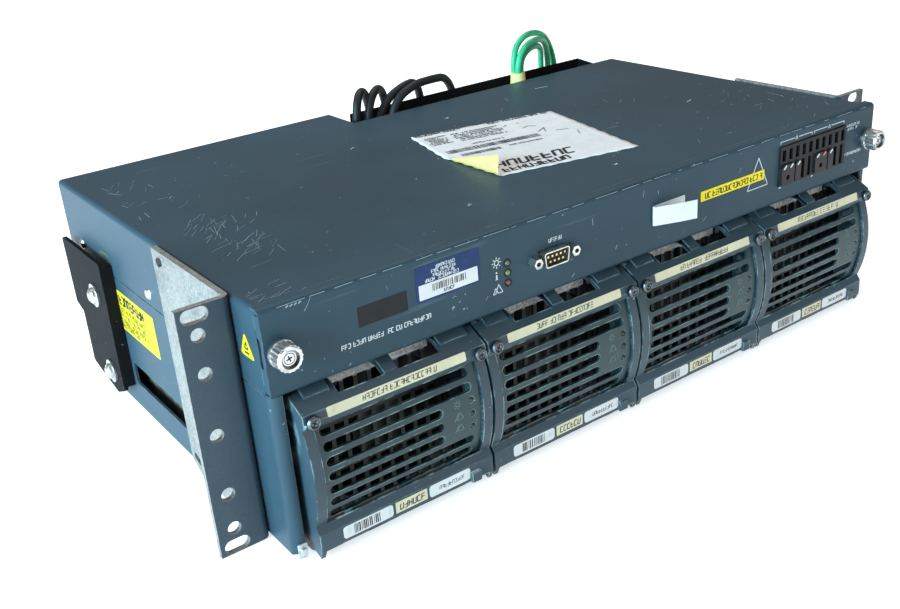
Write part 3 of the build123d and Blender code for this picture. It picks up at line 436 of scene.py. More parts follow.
def front_coat(shader, place, zinc_tone):
    """Paint on the faces that look forward, rubbed off along their edges."""
    coat = mask(along(face_way(place), "Y"), -0.12, -0.30)
    coat = times(coat, mask(along(place, "Y"), 3.0 * mm, 2.0 * mm))
    bare = times(edge_share(place, 0.6), spots(place, 260.0, 4.0, 0.30, 0.42))
    coat = times(coat, rest_of(bare))
    clouds = spots(place, 9.0, 4.0, 0.35, 0.65)
    paint_tone = blend(clouds, (0.026, 0.046, 0.062, 1), (0.036, 0.060, 0.080, 1))
    plug_all(shader, {
        "Base Color": blend(coat, zinc_tone, paint_tone),
        "Metallic": times(rest_of(coat), 0.3),
    })


# The module cases: zinc with painted shade on their fronts below the strip.
case_zinc_with_shade = galvanised(
    "case_zinc_with_shade", (0.17, 0.165, 0.16), (0.45, 0.44, 0.42), 2.6, 0.38, layer=painted_vent_shade
)
ear_sheet = galvanised(
    "ear_sheet", (0.13, 0.12, 0.11), (0.31, 0.28, 0.255), 1.2, 0.5, layer=front_coat
)
print("layered zinc", case_zinc_with_shade.name, ear_sheet.name)

# %% [markdown]
# ## Bright metal
#
# Screws, rivets and contacts are smoother and brighter than sheet. They are pure metal, and
# their roughness rises where noise says that they have gone dull.


# %% Bright steel, tin, gold and copper
def bright(name, colour, roughness=0.28):
    material, shader, place = start_material(name)
    dull = spots(place, 150.0, 4.0, 0.45, 0.70)
    plug_all(shader, {
        "Base Color": blend(dull, tint(colour), tint(colour, 0.45)),
        "Metallic": 1.0,
        "Roughness": maths("MULTIPLY_ADD", dull, 0.25, roughness),
    })
    add_bump(shader, noise(place, 420.0, 3.0), 0.12, 0.2)
    return material


bright_steel = bright("bright_steel", (0.72, 0.72, 0.69))
tinned = bright("tinned", (0.80, 0.77, 0.68), 0.22)
dull_steel = bright("dull_steel", (0.17, 0.19, 0.20), 0.34)
gold = bright("gold", (0.85, 0.62, 0.22), 0.30)
copper = bright("copper", (0.80, 0.38, 0.20), 0.30)
print("finishes with the metals", len(bpy.data.materials))

# %% [markdown]
# ## Plastics, boards and lamps
#
# Moulded plastic has a fine matte grain and is a little lighter at its edges. A lead's sheath
# is smoother and has no such edges. The circuit boards are green lacquer over paler tracks,
# which come from a Voronoi texture with square cells. The three lamps are one CAD node, so
# their one finish changes its tint with the height.


# %% Moulded plastic and sheaths
def moulded(name, colour, roughness=0.5, grain_scale=1500.0, edge_lift=0.25):
    material, shader, place = start_material(name)
    clouds = spots(place, 60.0, 4.0, 0.35, 0.65)
    tone = blend(clouds, tint(colour, 0.8), tint(colour, 1.25, 0.004))
    lift = times(edge_share(place, 0.4), edge_lift)
    plug_all(shader, {
        "Base Color": blend(lift, tone, tint(colour, 2.0, 0.08)),
        "Roughness": maths("MULTIPLY_ADD", clouds, 0.12, roughness),
        "Specular IOR Level": 0.35,
    })
    add_bump(shader, noise(place, grain_scale, 2.0), 0.2, 0.1)
    return material


black_plastic = moulded("black_plastic", (0.006, 0.006, 0.007), 0.5)
carrier_plastic = moulded("carrier_plastic", (0.012, 0.010, 0.012), 0.42)
black_sheath = moulded("black_sheath", (0.007, 0.007, 0.008), 0.5, 500.0, 0.0)
green_sheath = moulded("green_sheath", (0.035, 0.42, 0.20), 0.30, 400.0, 0.0)
yellow_sleeve = moulded("yellow_sleeve", (0.72, 0.66, 0.26), 0.45, 600.0)
lamp_glass = moulded("lamp_glass", (0.030, 0.050, 0.036), 0.15, 300.0, 0.0)
print("finishes with the plastics", len(bpy.data.materials))

# %% Circuit board
board_green, shader, place = start_material("board_green")
cells = add(place, "TexVoronoi", {"Vector": place, "Scale": 260.0}, distance="MANHATTAN")
tracks = mask(cells.outputs["Distance"], 0.30, 0.36)
tone = blend(tracks, (0.010, 0.085, 0.030, 1), (0.030, 0.16, 0.060, 1))
solder = spots(place, 400.0, 1.0, 0.70, 0.72)
tone = blend(solder, tone, (0.55, 0.55, 0.50, 1))
plug_all(shader, {"Base Color": tone, "Roughness": 0.35})
add_bump(shader, cells.outputs["Distance"], 0.15, 0.2)
print("board nodes", len(board_green.node_tree.nodes))

# %% Lamps of the control panel: their x, the middle one's z, and their spacing
lamp_x, lamp_z, lamp_pitch = -81.7, 106.5, 5.2
panel_lamps, shader, place = start_material("panel_lamps")
height = along(place, "Z")
tone = (0.10, 0.006, 0.012, 1)
for side, colour in ((-1, (0.13, 0.18, 0.03, 1)), (1, (0.06, 0.09, 0.05, 1))):
    split = lamp_z + side * lamp_pitch / 2
    tone = blend(mask(height, (split - 0.2) * mm, (split + 0.2) * mm), tone, colour)
milky = spots(place, 900.0, 2.0, 0.3, 0.7)
tone = blend(times(milky, 0.06), tone, (0.5, 0.5, 0.45, 1))
plug_all(shader, {"Base Color": tone, "Roughness": 0.16, "Coat Weight": 0.5})
print("lamp nodes", len(panel_lamps.node_tree.nodes))

# %% [markdown]
# ## Give each CAD node its finish
#
# The CAD objects already have the right shapes, so only their material slots change. The
# handles, grilles and captive screws are the exception: further on, cut copies replace them.

# %% Assign the finishes
finishes = {
    chassis_paint: ["base_pan", "top_cover", "front_panel", "rear_panel"],
    inner_zinc: ["mid_deck", "bay_walls"],
    board_green: ["backplane", "control_board"],
    black_plastic: ["module_sockets", "terminal_block", "fuse_block"],
    black_coat: ["terminal_guard", "side_bracket"],
    ear_sheet: ["ear_left", "ear_right"],
    bright_steel: ["ear_screws", "cover_rivets", "bracket_screws", "jackscrews", "earth_stud",
                   "thumbscrew_left", "thumbscrew_right"],
    tinned: ["serial_connector", "earth_lug"],
    carrier_plastic: ["fuse_a1", "fuse_a2", "fuse_b1", "fuse_b2"],
    yellow_sleeve: ["lug_sleeve"],
    black_sheath: ["black_leads"],
    green_sheath: ["green_leads"],
    panel_lamps: ["status_leds"],
}
module_finishes = {
    case_zinc_with_shade: ["case"],
    black_plastic: ["fan_frame", "fan_rotor"],
    board_green: ["power_board"],
    handle_paint: ["handle_frame"],
    grille_paint: ["grille"],
    dull_steel: ["captive_screws"],
}
for material, stems in module_finishes.items():
    names = [f"{stem}_{n}" for stem in stems for n in range(1, 5)]
    finishes.setdefault(material, []).extend(names)
for material, names in finishes.items():
    for name in names:
        cad[name].data.materials.clear()
        cad[name].data.materials.append(material)
for leads, sheath, slot in (
    (black_leads, black_sheath, "black_rubber"),
    (green_leads, green_sheath, "green_rubber"),
):
    for lead in leads:
        lead.data.materials.append(sheath)
print("finished nodes", sum(len(names) for names in finishes.values()), "of", len(cad))

# %% [markdown]
# ## Plates and marks
#
# A sticker is a thin plate with rounded corners, and its print is a second mesh of tiny
# raised strokes. Print could be a picture, but real strokes stay sharp at any distance. A
# place says where a plate lies: a point on the surface, the way to its right, the way up and
# the way out of the surface.


# %% Places on surfaces
class Place:
    """A flat spot on the shelf with its own right, up and out."""

    def __init__(self, origin, right=(1, 0, 0), up=(0, 0, 1)):
        self.origin = Vector(origin)
        self.right = Vector(right).normalized()
        self.out = self.right.cross(Vector(up)).normalized()
        self.up = self.out.cross(self.right)

    def at(self, x, y, height=0.0):
        """A point on the surface in metres, from millimetres along right, up and out."""
        return (self.origin + self.right * x + self.up * y + self.out * height) * mm


case_pitch = 103.2
module_x = [(k - 1.5) * case_pitch for k in range(4)]
panel_y, wall_x, cover_z = -29.0, -215.0, 128.8
front = Place((0, panel_y, 0))
left_wall = Place((wall_x, 0, 0), (0, -1, 0))
cover = Place((0, 0, cover_z), (1, 0, 0), (0, 1, 0))
side_view = Place((0, 0, 0), (0, 1, 0))
print("module middles", module_x)


# %% Pieces from corners and faces
def add_piece(name, mesh, body):
    """An object that rides on a body."""
    piece = put(name, mesh)
    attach(piece, body)
    return piece


def make_smooth(mesh):
    mesh.polygons.foreach_set("use_smooth", [True] * len(mesh.polygons))


def closed_mesh(name, shape):
    """A mesh from (corners, faces) whose faces all look outward."""
    verts, faces = shape
    mesh = bpy.data.meshes.new(name)
    mesh.from_pydata([tuple(v) for v in verts], [], faces)
    mesh.validate()
    mesh.update()
    work = bmesh.new()
    work.from_mesh(mesh)
    bmesh.ops.recalc_face_normals(work, faces=work.faces)
    work.to_mesh(mesh)
    work.free()
    return mesh


def mesh_piece(name, shape, material, body="shelf", slot="dark_paint"):
    mesh = closed_mesh(name, shape)
    mesh.materials.append(material)
    return add_piece(name, mesh, body)


# %% Outlines and prisms
def polar(x, y, reach, angle):
    """The point at a distance and an angle from (x, y)."""
    return x + reach * math.cos(angle), y + reach * math.sin(angle)


def rounded_outline(x0, y0, x1, y1, radius, steps=4):
    points = []
    for x, y, start in ((x1, y1, 0), (x0, y1, 90), (x0, y0, 180), (x1, y0, 270)):
        cx = x - radius if x == x1 else x + radius
        cy = y - radius if y == y1 else y + radius
        for k in range(steps + 1):
            points.append(polar(cx, cy, radius, math.radians(start + 90 * k / steps)))
    return points


def prism(place, outline, low, high):
    """Corners and faces of an outline drawn out from one height to another."""
    n = len(outline)
    verts = [place.at(x, y, height) for height in (low, high) for x, y in outline]
    faces = [tuple(range(n)), tuple(range(2 * n - 1, n - 1, -1))]
    faces += [(k, (k + 1) % n, n + (k + 1) % n, n + k) for k in range(n)]
    return verts, faces


def joined(parts):
    """Several lists of corners and faces as one."""
    verts, faces = [], []
    for more_verts, more_faces in parts:
        faces += [tuple(len(verts) + k for k in face) for face in more_faces]
        verts += more_verts
    return verts, faces


def strokes(place, lines, low, high):
    """Thin bars as prisms: each line is (x0, y0, x1, y1, thickness)."""
    parts = []
    for x0, y0, x1, y1, thick in lines:
        way = Vector((x1 - x0, y1 - y0)).normalized()
        side = Vector((-way.y, way.x)) * thick / 2
        ends = [(x0, y0), (x1, y1)]
        outline = [(x + side.x, y + side.y) for x, y in ends]
        outline += [(x - side.x, y - side.y) for x, y in reversed(ends)]
        parts.append(prism(place, outline, low, high))
    return joined(parts)


# %% [markdown]
# ## Bare ends of the leads
#
# The leads were cut off, so a little copper stands out of each end. Seven strands, one in
# the middle and six around it, are enough at this size.


# %% Copper strands
def cut_end(route, diameter):
    """A short stub of bare strands that stands out of a lead's cut end."""
    end, before = Vector(route[-1]), Vector(route[-2])
    forward = (end - before).normalized()
    across = forward.orthogonal().normalized()
    place = Place(end, across, forward.cross(across))
    sign = 1 if place.out.dot(forward) > 0 else -1
    core = 0.27 * diameter
    eighth = math.pi / 4
    strands = []
    for k in range(7):
        x, y = polar(0, 0, 0.0 if k == 6 else 0.66 * core, k * math.pi / 3)
        outline = [polar(x, y, 0.34 * core, step * eighth) for step in range(8)]
        length = 1.0 + 0.2 * (k % 3)
        strands.append(prism(place, outline, -0.4 * sign, length * sign))
    return joined(strands)


for colour, routes, diameter in (
    ("black", black_routes, black_diameter),
    ("green", green_routes, green_diameter),
):
    cores = joined([cut_end(route, diameter) for route in routes])
    mesh_piece(f"{colour}_lead_cores", cores, copper, slot="connector_metal")
    print(colour, "strand faces", len(cores[1]))

# %% [markdown]
# ## Unreadable marks, bars and signs
#
# All print on this model is generic. A line of print is a row of letter-sized cells, and each
# cell takes three of five straight strokes by chance, so it looks like print but spells
# nothing. A seeded generator gives the same marks each time.

# %% Print
marks = random.Random(11)


def plain_print(x, y, letters, size, weight=0.16, lean=0.0, spaces=0.18):
    """A line of marks; weight and spaces are shares, of the size and of the cells."""
    wide, tall = 0.52 * size, size
    cell = [
        (0, 0, 0, tall), (wide, 0, wide, tall), (0, tall, wide, tall),
        (0, tall / 2, wide, tall / 2), (0, 0, wide, 0),
    ]
    lines, pen = [], x
    for _ in range(letters):
        if marks.random() < spaces:
            pen += 0.5 * size
            continue
        for x0, y0, x1, y1 in marks.sample(cell, 3):
            start, end = (pen + x0 + lean * y0, y + y0), (pen + x1 + lean * y1, y + y1)
            lines.append((*start, *end, weight * size))
        pen += 0.78 * size
    return lines


def bar_code(x, y, length, tall):
    lines, pen = [], x
    while pen < x + length:
        thick = marks.choice((0.25, 0.4, 0.6))
        lines.append((pen, y, pen, y + tall, thick))
        pen += thick + marks.choice((0.35, 0.5, 0.8))
    return lines


# %% Signs
def triangle_sign(x, y, size, thick):
    """An upright triangle outline around a point."""
    low = y - 0.38 * size
    top, left, right = (x, y + 0.62 * size), (x - 0.5 * size, low), (x + 0.5 * size, low)
    return [(*a, *b, thick) for a, b in ((top, left), (left, right), (right, top))]


def sun_sign(x, y, size, thick, rays=8):
    """A lamp sign: a small ring with rays around it."""
    lines = []
    for k in range(rays):
        a, b = 2 * math.pi * k / rays, 2 * math.pi * (k + 1) / rays
        lines.append((*polar(x, y, 0.24 * size, a), *polar(x, y, 0.24 * size, b), thick))
        lines.append((*polar(x, y, 0.34 * size, a), *polar(x, y, 0.5 * size, a), thick))
    return lines


def ring_lines(x, y, radius, thick, count=18):
    """A ring drawn as short straight strokes that overlap a little."""
    lines = []
    for k in range(count):
        a, b = 2 * math.pi * k / count, 2 * math.pi * (k + 1.15) / count
        lines.append((*polar(x, y, radius, a), *polar(x, y, radius, b), thick))
    return lines


def cross_recess(reach, thick, turn=0.0):
    """The two arms of a cross-head recess."""
    lines = []
    for angle in (turn, turn + math.pi / 2):
        x, y = polar(0, 0, reach, angle)
        lines.append((-x, -y, x, y, thick))
    return lines


print("strokes in a sun sign", len(sun_sign(0, 0, 1, 0.1)))

# %% [markdown]
# ## Paper, stickers and ink
#
# Old stickers are slightly yellowed and scuffed, with smudges where dirt collects. The ink is
# matte and a little patchy. Both finishes take their unevenness from noise.


# %% Sticker finishes
def sticker(name, colour, dirt, roughness=0.5):
    """Printed film, paper or ink; dirt is the colour of its smudges."""
    material, shader, place = start_material(name)
    clouds = spots(place, 70.0, 4.0, 0.30, 0.70)
    smudge = spots(place, 160.0, 5.0, 0.56, 0.72)
    tone = blend(clouds, tint(colour), tint(colour, 0.9))
    plug_all(shader, {
        "Base Color": blend(times(smudge, 0.55), tone, tint(dirt)),
        "Specular IOR Level": 0.25,
        "Roughness": maths("MULTIPLY_ADD", clouds, 0.12, roughness),
    })
    add_bump(shader, noise(place, 500.0, 3.0), 0.12, 0.1)
    return material


white_paper = sticker("white_paper", (0.80, 0.80, 0.80), (0.62, 0.60, 0.56), 0.6)
white_sticker = sticker("white_sticker", (0.68, 0.69, 0.68), (0.50, 0.49, 0.45), 0.42)
cream_sticker = sticker("cream_sticker", (0.66, 0.62, 0.42), (0.48, 0.42, 0.26), 0.42)
yellow_sticker = sticker("yellow_sticker", (0.66, 0.50, 0.008), (0.52, 0.39, 0.008), 0.42)
bright_yellow = sticker("bright_yellow", (0.86, 0.70, 0.010), (0.70, 0.55, 0.010), 0.42)
pale_yellow = sticker("pale_yellow", (0.74, 0.55, 0.20), (0.60, 0.44, 0.15), 0.6)
blue_sticker = sticker("blue_sticker", (0.010, 0.030, 0.115), (0.02, 0.045, 0.14), 0.35)
field_black = sticker("field_black", (0.012, 0.013, 0.015), (0.016, 0.017, 0.019), 0.5)
# Dark ink for print; the same tone is also painted shade in the jack bores and screw recesses.
dark_ink_and_shade = sticker("dark_ink_and_shade", (0.020, 0.020, 0.024), (0.10, 0.10, 0.10), 0.6)
grey_ink = sticker("grey_ink", (0.09, 0.09, 0.095), (0.34, 0.34, 0.34), 0.6)
white_ink = sticker("white_ink", (0.66, 0.68, 0.68), (0.40, 0.42, 0.42), 0.5)
pink_ink = sticker("pink_ink", (0.62, 0.22, 0.24), (0.40, 0.16, 0.18), 0.5)
olive_ink = sticker("olive_ink", (0.17, 0.14, 0.02), (0.30, 0.26, 0.03), 0.6)
sign_tone = sticker("sign_tone", (0.13, 0.19, 0.19), (0.05, 0.08, 0.08), 0.5)
# Pale tone of the scratches, also used for the painted highlight along the panel's upper edge.
scuff_and_sheen_tone = sticker("scuff_and_sheen_tone", (0.34, 0.38, 0.40), (0.16, 0.19, 0.21), 0.6)
print("finishes in all", len(bpy.data.materials))

# %% Sticker and print makers
sticker_thick, field_step, ink_thick, printed = 0.16, 0.06, 0.05, 0.02


def stick(name, place, x0, y0, x1, y1, radius, material, thick=sticker_thick, **ride):
    """A plate from one corner to the other, with rounded corners."""
    plate = prism(place, rounded_outline(x0, y0, x1, y1, radius), 0.0, thick)
    return mesh_piece(name, plate, material, **ride)


def ink(name, place, lines, material, base=sticker_thick, **ride):
    """Strokes that stand on a sticker, or on the surface itself where base is small."""
    shape = strokes(place, lines, base - printed, base + ink_thick)
    return mesh_piece(name, shape, material, **ride)


print("sticker and ink, mm", sticker_thick, ink_thick)

# %% [markdown]
# ## The control panel's print and stickers
#
# The panel carries an asset tag with a bar code, lamp signs beside three status lamps, a
# yellow strip over a printed triangle, and fine white lines around the fuse block. Each is a
# plate with strokes on it, or strokes alone.

# %% Asset tag
field_thick = sticker_thick + field_step
stick("asset_tag", front, -135.8, 107.0, -98.5, 125.0, 1.4, blue_sticker)
stick("asset_tag_field", front, -134.3, 108.2, -100.0, 115.8, 0.3, white_sticker, field_thick)
tag_lines = []
tag_rows = ((-124.0, 122.2, 10), (-126.5, 120.2, 13), (-126.0, 118.2, 12), (-130.5, 116.4, 19))
for x, z, letters in tag_rows:
    tag_lines += plain_print(x, z, letters, 1.5, 0.22)
ink("asset_tag_words", front, tag_lines, white_ink)
code_lines = bar_code(-126.5, 111.2, 20.0, 3.4)
code_lines += plain_print(-120.0, 109.0, 5, 1.6, 0.2, spaces=0)
ink("asset_tag_code", front, code_lines, dark_ink_and_shade, field_thick)
print("asset tag strokes", len(tag_lines) + len(code_lines))

# %% Name field, lamp signs and the panel's small print
stick("name_field", front, -167.8, 106.1, -140.9, 116.1, 0.2, field_black, thick=0.05)
panel_lines = plain_print(-180.0, 98.1, 33, 2.2, 0.2, 0.06)
panel_lines += sun_sign(-88.3, 113.6, 5.8, 0.45)
panel_lines += [(-88.6, 104.9, -88.6, 107.3, 0.8), (-88.6, 108.0, -88.6, 108.8, 0.8)]
panel_lines += [(-89.4, 104.9, -87.8, 104.9, 0.4)]
panel_lines += triangle_sign(-87.6, 99.2, 4.6, 0.4) + triangle_sign(-89.6, 98.6, 3.2, 0.35)
panel_lines += plain_print(-54.6, 114.4, 6, 1.9, 0.18, spaces=0)
fuse_rows = ((187.6, 119.8, 12, 1.5), (187.6, 117.6, 12, 1.5), (188.0, 101.6, 14, 1.6))
for x, z, letters, size in fuse_rows:
    panel_lines += plain_print(x, z, letters, size, 0.18)
ink("panel_print", front, panel_lines, white_ink, printed)
print("panel strokes", len(panel_lines))

# %% Lines and dots around the fuse block
fuse_lines = []
for x0, x1 in ((125.0, 154.0), (156.2, 185.0)):
    centre = (x0 + x1) / 2
    fuse_lines += [(x0, 124.9, centre - 2, 124.9, 0.45), (centre + 2, 124.9, x1, 124.9, 0.45)]
    fuse_lines += [(x0, 125.1, x0, 123.4, 0.45), (x1, 125.1, x1, 123.4, 0.45)]
    fuse_lines += triangle_sign(centre, 124.6, 2.0, 0.35)
fuse_lines += [(125.4, 96.9, 127.0, 96.9, 1.0), (155.6, 96.9, 157.2, 96.9, 1.0)]
ink("fuse_lines", front, fuse_lines, white_ink, printed)
print("fuse strokes", len(fuse_lines))

# %% Yellow strip over a printed triangle
strip_thick = 0.2
ink("hazard_outline", front, triangle_sign(105.6, 109.0, 18.0, 0.5), white_ink, printed)
stick("yellow_strip", front, 57.0, 106.2, 111.0, 112.1, 0.4, bright_yellow, strip_thick)
strip_lines = plain_print(60.5, 107.5, 22, 3.0, 0.2, 0.1)
ink("yellow_strip_print", front, strip_lines, dark_ink_and_shade, strip_thick)
print("strip strokes", len(strip_lines))

# %% [markdown]
# ## The folded tag
#
# One strip of film is half stuck to the panel, and its other half is folded back and stands
# off. Seen from above it is a line with a tight bend, so the strip is that line given a
# thickness and two heights.


# %% Folded tag
def bent_strip(name, line, low, high, thick, material):
    """A strip of sheet that follows a line in (x, y) and stands between two heights."""
    verts, faces = [], []
    for k, (x, y) in enumerate(line):
        before, after = Vector(line[max(k - 1, 0)]), Vector(line[min(k + 1, len(line) - 1)])
        side = (after - before).normalized().orthogonal() * thick / 2
        for sign in (-1, 1):
            verts += [Vector((x + sign * side.x, y + sign * side.y, z)) * mm for z in (low, high)]
        if k:
            p, q = 4 * (k - 1), 4 * k
            for a, b in ((0, 1), (2, 3), (0, 2), (1, 3)):
                faces.append((p + a, p + b, q + b, q + a))
    last = 4 * (len(line) - 1)
    faces += [(0, 1, 3, 2), (last, last + 1, last + 3, last + 2)]
    return mesh_piece(name, (verts, faces), material, slot="zinc")


fold = [(44.0, panel_y - 0.12), (32.0, panel_y - 0.12), (21.0, panel_y - 0.15)]
fold += [polar(19.4, -30.4, 1.1, angle) for angle in (1.3, 1.9, 2.5, 3.1, 3.7, 4.3)]
fold += [(24.0, -33.2), (33.0, -36.6), (42.6, -39.4)]
bent_strip("folded_tag", fold, 103.4, 114.0, 0.22, white_sticker)
flat = sum(math.dist(a, b) for a, b in zip(fold, fold[1:]))
print("tag length laid flat, mm", round(flat, 1))

# %% [markdown]
# ## Small parts of the panel
#
# The connector has a black insert with gilded pins, the lamps sit in dark rings, and dark
# strokes on the jackscrews and thumbscrews are painted shade of their bores and recesses. CAD
# stops at their main shapes, and thin prisms add the rest.

# %% Lamp rings, connector insert, and painted shade in the jack bores and screw recesses
lamp_rings = []
for step in (-1, 0, 1):
    lamp_rings += ring_lines(lamp_x, lamp_z + lamp_pitch * step, 1.95, 0.7)
ink("lamp_rings", front, lamp_rings, dark_ink_and_shade, base=0.12)
serial_x, serial_z, jack_reach, pin_pitch = -53.1, 107.3, 12.9, 2.77
insert_face = Place((serial_x, -32.0, serial_z))
insert_outline = [(-7.7, 3.0), (-7.1, 3.5), (7.1, 3.5), (7.7, 3.0),
                  (6.9, -3.1), (6.3, -3.5), (-6.3, -3.5), (-6.9, -3.1)]
insert = prism(insert_face, insert_outline, -0.5, 0.0)
mesh_piece("connector_insert", insert, black_plastic, slot="black_plastic")
pin_tips = []
for row, count in ((1.4, 5), (-1.4, 4)):
    for k in range(count):
        x = (k - (count - 1) / 2) * pin_pitch
        tip = rounded_outline(x - 0.55, row - 0.55, x + 0.55, row + 0.55, 0.3, 2)
        pin_tips.append(prism(insert_face, tip, 0.75, 0.9))
mesh_piece("pin_tips", joined(pin_tips), gold, slot="connector_metal")
# A dark ring on the face of each jackscrew stands for its threaded bore: painted shade of the
# hole.
jack_bore_shades = []
for side in (-1, 1):
    jack = Place((serial_x + side * jack_reach, -34.0, serial_z))
    jack_bore_shades.append(strokes(jack, ring_lines(0, 0, 0.75, 0.9), -0.02, 0.03))
mesh_piece("jack_bore_shades", joined(jack_bore_shades), dark_ink_and_shade, slot="bright_steel")
# Dark cross and ring strokes on the thumbscrew heads stand for their recesses: painted shade.
for name, x in (("left", -208.0), ("right", 208.0)):
    recess = cross_recess(1.5, 0.7, 0.3) + ring_lines(0, 0, 2.6, 0.35)
    shape = strokes(Place((x, -38.6, 109.0)), recess, -0.02, 0.04)
    body = f"thumbscrew_{name}_body"
    mesh_piece(f"thumb_recess_shade_{name}", shape, dark_ink_and_shade, body, "bright_steel")
print("pins", len(pin_tips))

# %% Flags on the fuse carriers
flags = (
    ("a1", 127.0, white_ink), ("a1", 133.0, white_ink), ("a2", 139.6, white_sticker),
    ("b1", 158.0, white_ink), ("b1", 164.0, pink_ink), ("b2", 170.6, white_ink),
)
for carrier, x, tone in flags:
    flag = strokes(Place((x, -31.6, 109.6)), [(-1.0, -0.9, 1.2, 0.9, 0.9)], -0.02, 0.25)
    mesh_piece(f"fuse_flag_{int(x)}", flag, tone, f"fuse_{carrier}_body", "black_plastic")
print("flags", len(flags))

# %% [markdown]
# ## Scratches and scuffs
#
# The photograph shows clusters of fine scratches on the cover, and a broken pale line along
# the panel's upper edge that is partly chipped paint and partly a painted highlight of the
# edge. A material could hold them, but then they wouldn't lie where they do in the
# photograph. Each cluster has its middle, its spread and a main direction, and chance does
# the rest.

# %% Scratch maker
scuffs = random.Random(29)


def random_scratches(x, y, spread_x, spread_y, count, length, lean, thick=0.15):
    """Fine scratches around a point; lean is their main angle and length their longest."""
    lines = []
    for _ in range(count):
        cx, cy = x + scuffs.gauss(0, spread_x), y + scuffs.gauss(0, spread_y)
        angle = lean + scuffs.gauss(0, 0.35)
        dx, dy = polar(0, 0, length * scuffs.uniform(0.15, 0.5), angle)
        lines.append((cx - dx, cy - dy, cx + dx, cy + dy, thick * scuffs.uniform(0.5, 1.3)))
    return lines


# %% Scratches on the cover: x, y, spread in x and y, count, length and main angle
clusters = (
    (-180, 86, 8, 10, 34, 13, 0.9), (-182, 48, 7, 12, 26, 14, 0.8),
    (-186, 150, 9, 26, 18, 10, 1.0), (-200, -14, 5, 6, 22, 7, 0.2),
    (-196, 205, 10, 14, 22, 12, 1.2), (23, 162, 1.2, 1.2, 7, 3, 0.5),
    (26, 5, 0.8, 0.8, 5, 2.4, 0.2), (-72, 13, 1.0, 1.0, 5, 4, 1.0),
    (186, 30, 12, 30, 20, 9, 0.7), (90, 60, 60, 40, 26, 9, 0.6),
)
scratches = [line for cluster in clusters for line in random_scratches(*cluster)]
widest, nearest, furthest = 211, -22, 200
cover_scuffs = [
    (x0, y0, x1, y1, thick)
    for x0, y0, x1, y1, thick in scratches
    if max(abs(x0), abs(x1)) < widest and nearest < min(y0, y1) and max(y0, y1) < furthest
]
ink("cover_scuffs", cover, cover_scuffs, scuff_and_sheen_tone, base=0.01)
print("cover scratches", len(cover_scuffs), "of", len(scratches))

# %% Scratches of the panel, its edge line of chips and painted highlight, and dabs of paint on the cover
panel_scuffs_and_edge_sheen = [(23.0, 122.0, 23.6, 119.4, 0.25), (-25, 119.0, -24.4, 115.2, 0.3)]
scratched_spots = ((-194, 126.5), (-190, 127.0), (-110, 101), (-96, 95.5), (-8, 99), (10, 121),
                   (-42, 93), (-150, 121), (60, 97), (88, 118))
for x, z in scratched_spots:
    panel_scuffs_and_edge_sheen += random_scratches(x, z, 2.0, 1.2, 1, 5.0, 1.1, 0.2)
# A broken pale line along the panel's upper edge: partly chipped paint, partly a painted
# highlight.
edge_x, edge_end = -206.0, 205.0
while edge_x < edge_end:
    length = scuffs.uniform(2.0, 16.0)
    z = 129.0 + scuffs.uniform(-0.1, 0.2)
    panel_scuffs_and_edge_sheen.append((edge_x, z, min(edge_x + length, edge_end + 2), 129.05, 0.22))
    edge_x += length + scuffs.uniform(0.5, 9.0)
panel_scuffs_and_edge_sheen += [(-202.0 + 2.1 * k, 127.6, -200.6 + 2.1 * k, 128.2, 0.6) for k in range(4)]
ink("panel_scuffs_and_edge_sheen", front, panel_scuffs_and_edge_sheen, scuff_and_sheen_tone, printed)
dabs = [(22.0, 161.4, 24.6, 162.6, 0.9), (24.5, 4.7, 27.0, 5.9, 0.9),
        (-72.6, 12.4, -71.0, 13.4, 0.6), (150.0, 66.0, 156.0, 68.0, 0.5),
        (112.0, 176.0, 122.0, 174.0, 0.45), (-60.0, 150.0, -56.0, 152.0, 0.4)]
ink("cover_dabs", cover, dabs, white_ink, base=0.01)
print("panel scratches", len(panel_scuffs_and_edge_sheen), "dabs", len(dabs))

# %% [markdown]
# ## Stickers on the left wall
#
# A large yellow sticker with lines of print lies on the lower wall, an oval mark above it,
# and a small yellow triangle near the panel. The triangle's corners are rounded by three
# points each, turned about a point inside the corner.

# %% Left wall
stick("wall_sticker", left_wall, -169.5, 54.0, -110.0, 79.5, 0.8, yellow_sticker)
title = plain_print(-162.0, 71.4, 9, 5.4, 0.30, spaces=0)
small = []
for z, letters in ((66.4, 21), (62.6, 22), (58.8, 22), (55.6, 14)):
    small += plain_print(-166.0, z, letters, 2.6, 0.28)
ink("wall_sticker_title", left_wall, title, dark_ink_and_shade)
ink("wall_sticker_print", left_wall, small, olive_ink)
corner_points = []
for corner in (Vector((11.6, 114.3)), Vector((5.2, 102.4)), Vector((18.4, 102.4))):
    inward = (Vector((11.7, 106.4)) - corner).normalized() * 1.1
    for step in (-1, 0, 1):
        turn = Matrix.Rotation(math.radians(55 * step), 2)
        corner_points.append(tuple(corner + inward * 1.6 - turn @ inward * 0.9))
mesh_piece("yellow_triangle", prism(left_wall, corner_points, 0.0, sticker_thick), yellow_sticker)
triangle_marks = triangle_sign(11.6, 107.6, 3.4, 0.9) + [(9.4, 104.2, 13.8, 104.4, 1.1)]
ink("yellow_triangle_marks", left_wall, triangle_marks, dark_ink_and_shade)
turns = [2 * math.pi * k / 16 for k in range(17)]
oval = [(-173 + 7.5 * math.cos(a), 96.8 + 2.6 * math.sin(a)) for a in turns]
oval_lines = [(*a, *b, 0.8) for a, b in zip(oval, oval[1:])]
ink("wall_mark", left_wall, oval_lines, olive_ink, printed)
print("wall strokes", len(title) + len(small) + len(oval_lines))

